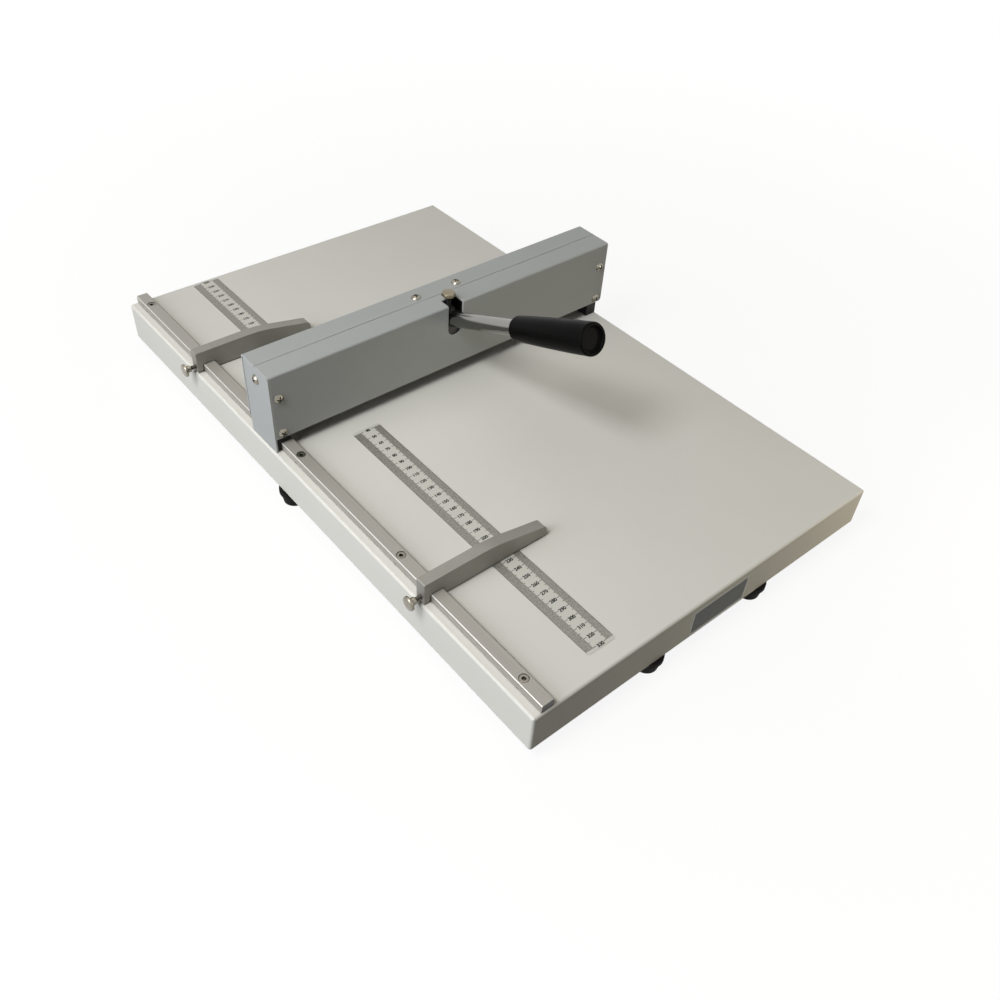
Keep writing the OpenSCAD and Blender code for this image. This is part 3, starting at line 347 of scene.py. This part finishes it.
def powder_coat(name, colours, roughness, edge_paint_and_highlight):
    """Satin paint with orange peel, and edges made lighter by thinner paint and a painted highlight."""
    material, tree, shader, place = new_finish(name, 0.0, IOR=1.5, Specular_IOR_Level=0.2)
    tint = drifting(tree, shader, place, colours, roughness, COAT_PATCH_MM)
    face = add_node(tree, "ShaderNodeNewGeometry").outputs["Normal"]
    directions = {0: rounded_normal(tree, COAT_EDGE_MM), 1: face}
    cosine = add_node(tree, "ShaderNodeVectorMath", directions, operation="DOT_PRODUCT").outputs["Value"]
    # A lighter line along the edges: thinner paint and a painted highlight
    edge_line = ramp(tree, cosine, LINE_BEGINS, LINE_FULL)
    tree.links.new(colour_mix(tree, edge_line, tint, edge_paint_and_highlight), shader.inputs["Base Color"])
    relief(tree, shader, noise(tree, place, PEEL_MM, detail=2.0), PEEL_DEPTH_MM)
    return material


finishes["table_paint"] = powder_coat(
    "powder_coat_warm_grey", ("#CECDC5", "#CAC9C1"), (0.54, 0.62), edge_paint_and_highlight="#D6D5CE")
finishes["cover_paint"] = powder_coat(
    "powder_coat_mid_grey", ("#A0A3A1", "#9C9F9D"), (0.46, 0.54), edge_paint_and_highlight="#BDC0BC")
finishes["black_paint"] = powder_coat(
    "powder_coat_black", ("#171615", "#131211"), (0.45, 0.55), edge_paint_and_highlight="#2A2928")
print("three powder coats")

# %% [markdown]
# Drawn aluminium comes out of the die with fine lines along its length, and natural anodising keeps them
# under a clear grey skin that scatters part of the light. Lines of a tenth of a millimetre would vanish in
# the picture, so they are drawn four times as wide, and the colour follows them a little. Ground steel has
# finer lines.
# The rail's faces are coloured by the way they face the light. Its left chamfer, which faces the lamps on
# the left, gets a painted highlight; its right chamfer, its sawn ends and the walls of its bores get painted
# shade. The direction of a face tells which one it is.

# %% Metals with lines along one axis
LINED_PATCH_MM = 1.2
# Painted shade in the gaps and corners of the lined metals
LINED_CORNER_SHADE = CornerShade(2.0, 0.2, 0.45)
RAIL_EDGE_MM = 0.12
# Colours of the rail's painted highlight and of its painted shade
RAIL_PAINTED_HIGHLIGHT = "#D2D0CA"
RAIL_PAINTED_SHADE = "#24221B"

# How far a chamfer's direction leans to the side, how far it may differ, and how far a cut face's leans to Y
CHAMFER_LEAN = 0.71
CHAMFER_SPREAD = 0.15
CUT_LEAN = 0.35


def stretched(tree, place, along, stretch):
    """Coordinates that make a pattern's grains that many times longer along one axis, 0 for X to 2 for Z."""
    scale = [1.0, 1.0, 1.0]
    scale[along] = 1 / stretch
    return add_node(tree, "ShaderNodeMapping", {"Vector": place, "Scale": scale}).outputs["Vector"]


def rail_wear(tree, tint):
    """The rail's colour with a painted highlight on its left chamfer and painted shade on its right chamfer
    and cut faces.
    """
    direction = add_node(tree, "ShaderNodeNewGeometry").outputs["True Normal"]
    lean = add_node(tree, "ShaderNodeSeparateXYZ", {"Vector": direction}).outputs
    # Painted highlight on the chamfer that faces the left lamps, painted shade on the other chamfer and on
    # cut faces
    lit_chamfer = calculated(tree, "COMPARE", lean["X"], -CHAMFER_LEAN, CHAMFER_SPREAD)
    shaded_chamfer = calculated(tree, "COMPARE", lean["X"], CHAMFER_LEAN, CHAMFER_SPREAD)
    shaded_cut = calculated(tree, "GREATER_THAN", calculated(tree, "ABSOLUTE", lean["Y"]), CUT_LEAN)
    highlighted = colour_mix(tree, lit_chamfer, tint, RAIL_PAINTED_HIGHLIGHT)
    return colour_mix(tree, calculated(tree, "MAXIMUM", shaded_chamfer, shaded_cut), highlighted, RAIL_PAINTED_SHADE)


def lined_metal(name, colours, roughness, along, line_mm, depth_mm, stretch=60, metallic=1.0, is_rail=False):
    """Metal with fine lines along one axis; the rail gets its painted highlight and shade and crisper edges
    as well.
    """
    material, tree, shader, place = new_finish(name, metallic)
    drawn = stretched(tree, place, along, stretch)
    tint = drifting(tree, shader, drawn, colours, roughness, LINED_PATCH_MM, LINED_CORNER_SHADE)
    if is_rail:
        tree.links.new(rail_wear(tree, tint), shader.inputs["Base Color"])
    lines = noise(tree, drawn, line_mm, detail=3.0)
    relief(tree, shader, lines, depth_mm, RAIL_EDGE_MM if is_rail else EDGE_MM)
    return material


finishes["anodised_aluminium"] = lined_metal(
    "anodised_drawn_aluminium", ("#A29E96", "#918E86"), (0.36, 0.48),
    along=1, line_mm=0.4, depth_mm=0.006, metallic=0.2, is_rail=True)
finishes["ground_steel"] = lined_metal(
    "ground_tool_steel", ("#B9BBBD", "#A9ABAD"), (0.24, 0.34), along=0, line_mm=0.25, depth_mm=0.003)
finishes["dark_steel"] = lined_metal(
    "oiled_mild_steel", ("#6E6F70", "#5A5B5C"), (0.38, 0.52),
    along=0, line_mm=0.6, depth_mm=0.006, stretch=12)
finishes["spring_steel"] = lined_metal(
    "oiled_spring_wire", ("#8F9092", "#77787A"), (0.28, 0.38),
    along=2, line_mm=0.3, depth_mm=0.004, stretch=8)
print("rail, ground, oiled and spring metals")

# %% [markdown]
# The stops are die-cast aluminium, blasted with glass beads: thousands of tiny dents scatter the light,
# so the metal looks matt grey. The dents are drawn half a millimetre wide to show at this distance.
# Plated screws are smoother, with slow waves from the plating bath; their roughness tells them apart.

# %% Blasted, plated and cast metals
def pitted_metal(name, colours, roughness, pit_mm, depth_mm, metallic=1.0, patch_mm=20, corner_shade=LIGHT_CORNER_SHADE):
    """Metal with shallow dents."""
    material, tree, shader, place = new_finish(name, metallic)
    drifting(tree, shader, place, colours, roughness, patch_mm, corner_shade)
    dents = add_node(tree, "ShaderNodeTexVoronoi", {"Vector": place, "Scale": grain(pit_mm)},
                     feature="SMOOTH_F1")
    relief(tree, shader, dents.outputs["Distance"], depth_mm)
    return material


# Some finishes get stronger painted shade in gaps and recesses: under the stops, in the screws' cross
# recesses and round the rail's screws
finishes["cast_aluminium"] = pitted_metal(
    "bead_blasted_cast_aluminium", ("#918F89", "#85837C"), (0.50, 0.62),
    pit_mm=0.5, depth_mm=0.012, metallic=0.7, corner_shade=CornerShade(3.0, 0.35, 0.8))
finishes["nickel_steel"] = pitted_metal(
    "nickel_plated_steel", ("#A5A093", "#7A756A"), (0.16, 0.26),
    pit_mm=0.9, depth_mm=0.003, patch_mm=4, corner_shade=CornerShade(1.8, 0.62, 0.97))
finishes["zinc_steel"] = pitted_metal(
    "zinc_plated_steel", ("#938A77", "#7F7766"), (0.28, 0.42), pit_mm=0.7, depth_mm=0.004, patch_mm=6)
finishes["black_steel"] = pitted_metal(
    "blackened_steel", ("#242424", "#1A1A1B"), (0.34, 0.46), pit_mm=0.7, depth_mm=0.004)
finishes["black_oxide"] = pitted_metal(
    "black_cast_iron", ("#161514", "#100F0E"), (0.42, 0.56), pit_mm=1.1, depth_mm=0.02, metallic=0.2)
finishes["bronze"] = pitted_metal(
    "sintered_bronze", ("#A8824C", "#8F6D3C"), (0.36, 0.48), pit_mm=0.4, depth_mm=0.008)
finishes["chromed_steel"] = pitted_metal(
    "hard_chrome", ("#989793", "#8F8E8B"), (0.20, 0.26), pit_mm=2.5, depth_mm=0.001, patch_mm=30)
oiled_screws = pitted_metal(
    "oiled_black_screws", ("#938F85", "#7B776E"), (0.24, 0.34),
    pit_mm=0.8, depth_mm=0.004, patch_mm=4, corner_shade=CornerShade(2.0, 0.45, 0.9))
print("blasted, plated and cast metals")

# %% [markdown]
# Two moulded parts: the grip is black phenolic, poured into a polished mould, so it has one long soft
# highlight; the feet are rubber from a blasted mould, so they stay dull. The ruler's film is polyester, its
# silver bands an ink full of tiny flakes, which is why they look speckled.

# %% Moulded and printed parts
def moulded(name, colours, roughness, ior, texture_mm, depth_mm, patch_mm=25, **sockets):
    """Plastic, rubber or ink with a faint skin."""
    material, tree, shader, place = new_finish(name, 0.0, IOR=ior, **sockets)
    drifting(tree, shader, place, colours, roughness, patch_mm)
    relief(tree, shader, noise(tree, place, texture_mm, detail=3.0), depth_mm)
    return material


finishes["grip_plastic"] = moulded(
    "moulded_black_phenolic", ("#090908", "#060606"), (0.34, 0.42),
    ior=1.45, texture_mm=3.0, depth_mm=0.006, Specular_IOR_Level=0.04)
finishes["rubber"] = moulded(
    "moulded_rubber", ("#141312", "#0F0E0D"), (0.66, 0.80),
    ior=1.52, texture_mm=0.6, depth_mm=0.03, Specular_IOR_Level=0.1)
finishes["silver_film"] = moulded(
    "clear_polyester_film", ("#C0C0B7", "#BCBCB3"), (0.36, 0.42),
    ior=1.5, texture_mm=8.0, depth_mm=0.004, Specular_IOR_Level=0.35)
silver_print = pitted_metal(
    "printed_silver_band", ("#B4B2A8", "#1E1D1A"), (0.42, 0.55),
    pit_mm=0.8, depth_mm=0.004, metallic=0.35, patch_mm=1.2)
strip_print = moulded(
    "printed_pale_strip", ("#C7C6BC", "#B8B7AE"), (0.40, 0.48),
    ior=1.5, texture_mm=2.0, depth_mm=0.002, patch_mm=0.8, Specular_IOR_Level=0.3)
ink = moulded(
    "printed_black_ink", ("#100F0D", "#0B0A09"), (0.50, 0.60), ior=1.5, texture_mm=1.0, depth_mm=0.001)
label_print = pitted_metal(
    "blank_silver_plate", ("#A9A99F", "#9C9C93"), (0.34, 0.46),
    pit_mm=0.8, depth_mm=0.003, metallic=0.5, patch_mm=5)
label_field = moulded(
    "blank_dark_field", ("#484943", "#3D3E38"), (0.34, 0.46),
    ior=1.5, texture_mm=1.0, depth_mm=0.003, patch_mm=5, Specular_IOR_Level=0.1)
print("moulded parts and films")

# %% [markdown]
# Now each CAD part gets the finish that the record's material slot names. The shapes stay as CAD made them.
# The rail's screws sit oiled in their counterbores, with stronger painted shade in the gap round each head,
# so they get a finish of their own.

# %% Finishes on the CAD parts
def dress(piece, material):
    """Puts one material on every slot of a piece."""
    if piece.material_slots:
        for slot in piece.material_slots:
            slot.material = material
    else:
        piece.data.materials.append(material)


for row in frame["record"]["subparts"]:
    dress(nodes[row["node"]], finishes[row["material_slot"]])
dress(nodes["rail_screws"], oiled_screws)

# %% [markdown]
# New pieces are meshes made in code. One function turns points and faces into an object with its finish
# that rides on a body, so that it moves with the CAD parts of that body.

# %% Making a piece
def piece_from(name, points, faces, material, slot, body, smooth=False):
    """An object of those points and faces, with its finish, riding on a body."""
    mesh = bpy.data.meshes.new(name)
    mesh.from_pydata([tuple(p) for p in points], [], faces)
    mesh.materials.append(material)
    mesh.validate()
    fixing = bmesh.new()
    fixing.from_mesh(mesh)
    bmesh.ops.recalc_face_normals(fixing, faces=fixing.faces)
    fixing.to_mesh(mesh)
    fixing.free()
    if smooth:
        mesh.shade_smooth()
    made = bpy.data.objects.new(name, mesh)
    bpy.context.scene.collection.objects.link(made)
    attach(made, body)
    return made


# %% [markdown]
# Round shapes are made as a turner would: circles from a half section are stacked along Z, a skin joins each
# to the next, and the shape is then turned to the way it faces. Flat shapes are thin boxes. Both are lists
# of points and faces at first, so that several can be merged into one piece.

# %% Round and flat shapes
ARC_STEPS = 6


def ring_skin(rings):
    """Points and faces of a closed skin through rings of points, with a fan over each end."""
    count = len(rings[0])
    points = [p for ring in rings for p in ring]
    faces = []
    for r in range(len(rings) - 1):
        for k in range(count):
            a, b = r * count + k, r * count + (k + 1) % count
            faces.append((a, b, b + count, a + count))
    for ring, flip in ((0, True), (len(rings) - 1, False)):
        middle = sum((Vector(p) for p in rings[ring]), Vector()) / count
        points.append(middle)
        for k in range(count):
            a, b = ring * count + k, ring * count + (k + 1) % count
            faces.append((b, a, len(points) - 1) if flip else (a, b, len(points) - 1))
    return points, faces


def angles(count):
    """That many even steps of a full turn."""
    return np.linspace(0, 2 * math.pi, count, endpoint=False)


def circle(radius, z, spokes):
    """Points round Z at that height."""
    return [(radius * math.cos(a), radius * math.sin(a), z) for a in angles(spokes)]


def arc(cx, cz, radius, start, end):
    """Points of a rounded corner, from one angle in degrees to another."""
    turns = [math.radians(start + (end - start) * i / ARC_STEPS) for i in range(ARC_STEPS + 1)]
    return [(cx + radius * math.cos(a), cz + radius * math.sin(a)) for a in turns]


def in_mm(rings):
    """Rings drawn in millimetres, in metres."""
    return [[Vector(p) * MM for p in ring] for ring in rings]


def placed(points, origin, axis):
    """Points drawn round Z, turned so that Z looks along axis, and moved to the origin."""
    turn = Vector(axis).to_track_quat("Z", "Y").to_matrix()
    return [turn @ Vector(p) + origin for p in points]


def merged(parts):
    """Several (points, faces) as one."""
    points, faces = [], []
    for more_points, more_faces in parts:
        shift = len(points)
        points += list(more_points)
        faces += [tuple(i + shift for i in face) for face in more_faces]
    return points, faces


def slab(x, y, z):
    """Points and faces of a thin box between two values on each axis, in millimetres."""
    points = [at(a, b, c) for a in x for b in y for c in z]
    return points, [(0, 1, 3, 2), (4, 6, 7, 5), (0, 4, 5, 1), (2, 3, 7, 6), (0, 2, 6, 4), (1, 5, 7, 3)]


print("a rounded corner has", ARC_STEPS, "steps")

# %% [markdown]
# A ruler is a thin film with rounded corners, printed on its face: two silver bands, a pale strip
# between them, marks every five millimetres and a number every ten. Each ink is a skin a few hundredths
# thick on the film, so that no two faces that show lie in one plane. The numbers are text objects turned
# to meshes, thickened a little, as printed bold.

# %% Ruler sizes
FILM_LIFT = 0.01
FILM_TOP = 50.25
BAND_TOP = 50.28
STRIP_TOP = 50.31
INK_TOP = 50.34
FILM_X = (-120.7, -93.9)
STRIP_X = (-113.3, -100.3)
PRINT_IN = 0.1
BAND_LINE = 0.25
FILM_PAST = 3.0
FILM_CORNER = 2.2
MARK_STEP = 5
LONG_MARK = 2.6
SHORT_MARK = 1.3
MARK_W = 0.45
NUMBER_H = 3.0
NUMBER_BOLD = 0.21
NUMBER_SHIFT = -0.6

# A digit's height over its font size, and the points on each of its curves
DIGIT_SHARE = 0.72
CURVE_STEPS = 3


def film_outline(x0, x1, y0, y1, radius):
    """Outline of a rectangle with rounded corners."""
    corners = [(x1 - radius, y1 - radius, 0), (x0 + radius, y1 - radius, 90),
               (x0 + radius, y0 + radius, 180), (x1 - radius, y0 + radius, 270)]
    return [p for cx, cy, start in corners for p in arc(cx, cy, radius, start, start + 90)]


def number_meshes(label, x, y):
    """Points and faces of a number in bold sans, its middle at (x, y), read from the front of the table."""
    data = bpy.data.curves.new("number", "FONT")
    data.body = label
    data.size = NUMBER_H / DIGIT_SHARE * MM
    data.offset = NUMBER_BOLD * MM
    data.align_x = data.align_y = "CENTER"
    data.resolution_u = CURVE_STEPS
    data.extrude = (INK_TOP - STRIP_TOP) / 2 * MM
    text = bpy.data.objects.new("number", data)
    bpy.context.scene.collection.objects.link(text)
    bpy.context.view_layer.update()
    mesh = bpy.data.meshes.new_from_object(text.evaluated_get(bpy.context.evaluated_depsgraph_get()))
    middle = at(x, y, (STRIP_TOP + INK_TOP) / 2)
    points = [v.co + middle for v in mesh.vertices]
    faces = [tuple(p.vertices) for p in mesh.polygons]
    bpy.data.objects.remove(text)
    bpy.data.curves.remove(data)
    bpy.data.meshes.remove(mesh)
    return points, faces


print("ruler", round(FILM_X[1] - FILM_X[0], 1), "mm wide, numbers", NUMBER_H, "mm high")

# %% [markdown]
# The marks start at the strip's two edges: long ones at the numbers, short ones halfway. The first and the
# last lie inside the strip's ends. A hair line closes each silver band on its outer side.

# %% Rulers
def ruler(name, first, last, way):
    """A ruler with marks from first to last millimetre, away from the crease line along way, 1 or -1."""
    ends = sorted((CREASE_Y + way * first, CREASE_Y + way * last))
    outline = film_outline(*FILM_X, ends[0] - FILM_PAST, ends[1] + FILM_PAST, FILM_CORNER)
    rings = [[at(x, y, z) for x, y in outline] for z in (TABLE_TOP + FILM_LIFT, FILM_TOP)]
    film = piece_from(name + "_film", *ring_skin(rings), finishes["silver_film"], "silver_film", "frame")
    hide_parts(name)
    left, right = FILM_X[0] + PRINT_IN, FILM_X[1] - PRINT_IN
    bands = merged([slab((left + BAND_LINE, STRIP_X[0]), ends, (FILM_TOP, BAND_TOP)),
                    slab((STRIP_X[1], right - BAND_LINE), ends, (FILM_TOP, BAND_TOP))])
    piece_from(name + "_bands", *bands, silver_print, "silver_film", "frame")
    strip = slab(STRIP_X, ends, (FILM_TOP, STRIP_TOP))
    piece_from(name + "_strip", *strip, strip_print, "silver_film", "frame")
    marks = [slab((left, left + BAND_LINE), ends, (FILM_TOP, BAND_TOP)),
             slab((right - BAND_LINE, right), ends, (FILM_TOP, BAND_TOP))]
    numbers = []
    for distance in range(first, last + 1, MARK_STEP):
        y = CREASE_Y + way * distance
        numbered = distance % (2 * MARK_STEP) == 0
        length = LONG_MARK if numbered else SHORT_MARK
        rows = (y - MARK_W / 2, y + MARK_W / 2)
        if distance in (first, last):
            inwards = 1 if y == ends[0] else -1
            rows = sorted((y, y + inwards * MARK_W))
        marks.append(slab((STRIP_X[0], STRIP_X[0] + length), rows, (STRIP_TOP, INK_TOP)))
        marks.append(slab((STRIP_X[1] - length, STRIP_X[1]), rows, (STRIP_TOP, INK_TOP)))
        if numbered:
            numbers.append(number_meshes(str(distance), (STRIP_X[0] + STRIP_X[1]) / 2, y + NUMBER_SHIFT))
    piece_from(name + "_marks", *merged(marks), ink, "silver_film", "frame")
    piece_from(name + "_numbers", *merged(numbers), ink, "silver_film", "frame")
    print(name, "from", first, "to", last, "mm,", len(numbers), "numbers")


ruler("front_scale", 40, 330, -1)
ruler("rear_scale", 40, 250, 1)

# %% [markdown]
# The covers are held by pan-head screws with a Phillips recess. The head is a grid of rings and spokes
# whose height is a dome, sunk where it falls inside a cross; the cross gets shallower towards its tips.
# It is measured from its seat, in millimetres, and stands along Z until it is put in place.

# %% A Phillips screw
PAN_R = 4.6
PAN_H = 2.5
RIM_H = 0.05
SEAT_LIFT = 0.02
SHANK_R = 2.0
SHANK_L = 9.2
SHANK_CHAMFER = 0.3
CROSS_HALF_W = 0.6
CROSS_REACH = 2.6
CROSS_DEPTH = 1.5
CROSS_WALL = 0.14
SPOKES = 72
HEAD_RINGS = 24

# The share of its depth that the cross has lost at its tips, and a power that brings rings nearer the rim
TIP_LOSS = 0.65
RING_POWER = 0.9


def pan_height(x, y):
    """Height of a pan head over its seat at a point, in millimetres."""
    dome_r = (PAN_R ** 2 + PAN_H ** 2) / (2 * PAN_H)
    distance = math.hypot(x, y)
    dome = PAN_H - dome_r + math.sqrt(max(dome_r ** 2 - distance ** 2, 0))
    wide, long = sorted((abs(x), abs(y)))
    # 1 inside the cross and 0 outside, with its sloped wall half on each side of the edge
    inside = min((CROSS_HALF_W - wide) / CROSS_WALL + 0.5, (CROSS_REACH - long) / CROSS_WALL + 0.5)
    sunk = min(max(inside, 0), 1) * CROSS_DEPTH * (1 - TIP_LOSS * min(distance / CROSS_REACH, 1))
    return max(dome - sunk, RIM_H)


def pan_screw(turn):
    """Points and faces of a screw standing on Z = 0, in metres; turn is the angle at which it stopped."""
    shank = ((-SHANK_L, SHANK_R - SHANK_CHAMFER), (-SHANK_L + SHANK_CHAMFER, SHANK_R),
             (SEAT_LIFT, SHANK_R), (SEAT_LIFT, PAN_R))
    rings = [circle(radius, z, SPOKES) for z, radius in shank]
    for i in range(HEAD_RINGS):
        flat = circle(PAN_R * (1 - i / HEAD_RINGS) ** RING_POWER, 0, SPOKES)
        rings.append([(x, y, pan_height(x, y)) for x, y, z in flat])
    spin = Matrix.Rotation(turn, 3, "Z")
    return ring_skin([[spin @ Vector(p) * MM for p in ring] for ring in rings])


print("pan head", 2 * PAN_R, "mm wide and", PAN_H, "mm high")

# %% [markdown]
# Four screws hold each long face of the beam, two stand on its top and one at each end. The photograph
# shows the front, the top and the left end, and the hidden sides are taken to be like them. Each screw
# stops at its own angle, as a hand-driven one does. Together they take the place of the plain ones.

# %% Cover screws
SCREW_X = (-176.2, 181.3)
SCREW_Z = (68.4, 103.8)
TOP_SCREW_X = 22.3
TOP_SCREW_Y = 54.3
END_SCREW_Z = 114.0
END_PLATE_X = (-184.2, 186.2)
TURN_SEED = 7

screw_seats = [((x, CREASE_Y + side * BEAM_HALF_DEPTH, z), (0, side, 0))
               for x in SCREW_X for side in (-1, 1) for z in SCREW_Z]
screw_seats += [((LEVER_X + side * TOP_SCREW_X, TOP_SCREW_Y, BEAM_TOP), (0, 0, 1)) for side in (-1, 1)]
screw_seats += [((x, CREASE_Y, END_SCREW_Z), (math.copysign(1, x), 0, 0)) for x in END_PLATE_X]
turns = np.random.default_rng(TURN_SEED).uniform(0, math.pi / 2, len(screw_seats))
screws = []
for (seat, axis), turn in zip(screw_seats, turns):
    points, faces = pan_screw(turn)
    screws.append((placed(points, at(*seat), axis), faces))
cover_screws = piece_from("cover_screws_phillips", *merged(screws),
                          finishes["nickel_steel"], "nickel_steel", "frame")
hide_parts("cover_screws")
print(len(screws), "Phillips screws")

# %% [markdown]
# The bolt in the hub and the two clamp screws show their threads. A thread is a rod whose radius depends
# on the angle and the height together: one full turn lifts the groove by one pitch.

# %% Threads
THREAD_DEPTH = 0.61
STEPS_PER_PITCH = 10


def threaded_rings(radius, pitch, z0, z1, spokes=40):
    """Rings of a rod along Z from z0 to z1 with a thread, its ends run out to the core."""
    depth = THREAD_DEPTH * pitch
    rings = []
    for z in np.linspace(z0, z1, int((z1 - z0) / pitch * STEPS_PER_PITCH) + 1):
        run_out = min(1, (z - z0) / pitch, (z1 - z) / pitch)
        ring = []
        for a in angles(spokes):
            groove = abs(2 * ((z / pitch - a / (2 * math.pi)) % 1) - 1)
            r = radius - depth * (1 - run_out * groove)
            ring.append((r * math.cos(a), r * math.sin(a), z))
        rings.append(ring)
    return rings


print("threads cut to", THREAD_DEPTH, "of their pitch")

# %% [markdown]
# A stop is clamped by a nickel-plated thumb screw: a thin round head to grip, a collar behind it, and an M4
# thread through the stop's lug. It lies along X, and its sizes are measured from the head's inner face.

# %% Clamp screws
CLAMP_X = -193.7
CLAMP_Z = 55.0
THUMB_R = 6.0
THUMB_W = 2.6
THUMB_ROUND = 0.9
COLLAR_R = 3.2
COLLAR_W = 4.0
COLLAR_ROUND = 0.3
TIP_R = 0.01
M4_R = 2.0
M4_CORE_R = 1.6
M4_PITCH = 0.7
M4_SPOKES = 40
CLAMP_THREAD_END = 15.2
CLAMP_SHARP = math.radians(40)


def rounded_disc(radius, z0, z1, rounding):
    """Half section of a disc with rounded edges."""
    lower = arc(radius - rounding, z0 + rounding, rounding, -90, 0)
    return lower + arc(radius - rounding, z1 - rounding, rounding, 0, 90)


def clamp_screw(name, y, body):
    """A threaded thumb screw in place of the plain one."""
    section = [(TIP_R, -THUMB_W)] + rounded_disc(THUMB_R, -THUMB_W, 0.0, THUMB_ROUND)
    section += rounded_disc(COLLAR_R, 0.0, COLLAR_W, COLLAR_ROUND) + [(M4_CORE_R, COLLAR_W)]
    rings = [circle(r, z, M4_SPOKES) for r, z in section]
    rings += threaded_rings(M4_R, M4_PITCH, COLLAR_W, CLAMP_THREAD_END)
    points, faces = ring_skin(in_mm(rings))
    made = piece_from(name + "_threaded", placed(points, at(CLAMP_X, y, CLAMP_Z), (1, 0, 0)), faces,
                      finishes["nickel_steel"], "nickel_steel", body, smooth=True)
    made.data.set_sharp_from_angle(angle=CLAMP_SHARP)
    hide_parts(name)
    print(name, "with", len(faces), "faces")


clamp_screw("front_clamp_screw", -175.55, "clamp_front")
clamp_screw("rear_clamp_screw", 167.35, "clamp_rear")

# %% [markdown]
# The hub's bolt stands up through the slot. Its hexagon head is zinc plated, with the corners turned off
# at the top, and its threaded stem is blackened.

# %% Hub bolt
BOLT_AT = (0.7, 34.5, 101.8)
HEX_FLATS = 11.0
HEX_SPOKES = 60
HEAD_Z = (30.1, 33.5)
STEM_R = 2.5
STEM_PITCH = 0.8
STEM_SPOKES = 48
STEM_THREAD = (14.8, HEAD_Z[0] - 1.2)
NECK_R = STEM_R - 0.1
NECK_Z = (HEAD_Z[0] - 1.1, HEAD_Z[0] + 0.1)
BOLT_SHARP = math.radians(30)

# Heights over the underside and depths under the top, each with the corners' reach there in half flats
HEX_LOWER = ((0.0, 0.97), (0.25, 1.1547))
HEX_UPPER = ((0.7, 1.1547), (0.4, 1.09), (0.12, 1.0), (0.0, 0.94))


def hexagon_rings(flats, z0, z1):
    """Rings of a hexagon head whose corners are turned off towards the top, as on a real bolt."""
    limits = [(z0 + up, limit) for up, limit in HEX_LOWER]
    limits += [(z1 - down, limit) for down, limit in HEX_UPPER]
    rings = []
    for z, limit in limits:
        ring = []
        for a in angles(HEX_SPOKES):
            reach = 1 / math.cos((a + math.pi / 6) % (math.pi / 3) - math.pi / 6)
            r = flats / 2 * min(reach, limit)
            ring.append((r * math.cos(a), r * math.sin(a), z))
        rings.append(ring)
    return rings


head_points, head_faces = ring_skin(in_mm(hexagon_rings(HEX_FLATS, *HEAD_Z)))
bolt_head = piece_from("hub_bolt_head", placed(head_points, at(*BOLT_AT), (0, 0, 1)), head_faces,
                       finishes["zinc_steel"], "zinc_steel", "lever", smooth=True)
bolt_head.data.set_sharp_from_angle(angle=BOLT_SHARP)
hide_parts("hub_bolt")
stem_rings = threaded_rings(STEM_R, STEM_PITCH, *STEM_THREAD, spokes=STEM_SPOKES)
stem_rings += [circle(NECK_R, z, STEM_SPOKES) for z in NECK_Z]
stem_points, stem_faces = ring_skin(in_mm(stem_rings))
piece_from("hub_bolt_stem", placed(stem_points, at(*BOLT_AT), (0, 0, 1)), stem_faces,
           finishes["black_steel"], "black_steel", "lever", smooth=True)
print("hub bolt with", len(head_faces) + len(stem_faces), "faces")

# %% [markdown]
# On the table's front side sits a thin silver plate. It is left blank: a bright frame round a darker field.

# %% Blank plate on the front side
PLATE_X = (-26.0, 37.0)
PLATE_Z = (16.5, 42.5)
PLATE_FRAME = 1.2
TABLE_FRONT = -302.5
PLATE_BACK = TABLE_FRONT - 0.01
PLATE_FACE = TABLE_FRONT - 0.15
FIELD_FACE = TABLE_FRONT - 0.2

plate = slab(PLATE_X, (PLATE_FACE, PLATE_BACK), PLATE_Z)
piece_from("blank_plate", *plate, label_print, "silver_film", "frame")
field_x, field_z = ((side[0] + PLATE_FRAME, side[1] - PLATE_FRAME) for side in (PLATE_X, PLATE_Z))
field = slab(field_x, (FIELD_FACE, PLATE_FACE), field_z)
piece_from("blank_plate_field", *field, label_field, "silver_film", "frame")
print("blank plate", PLATE_X[1] - PLATE_X[0], "by", PLATE_Z[1] - PLATE_Z[0], "mm")
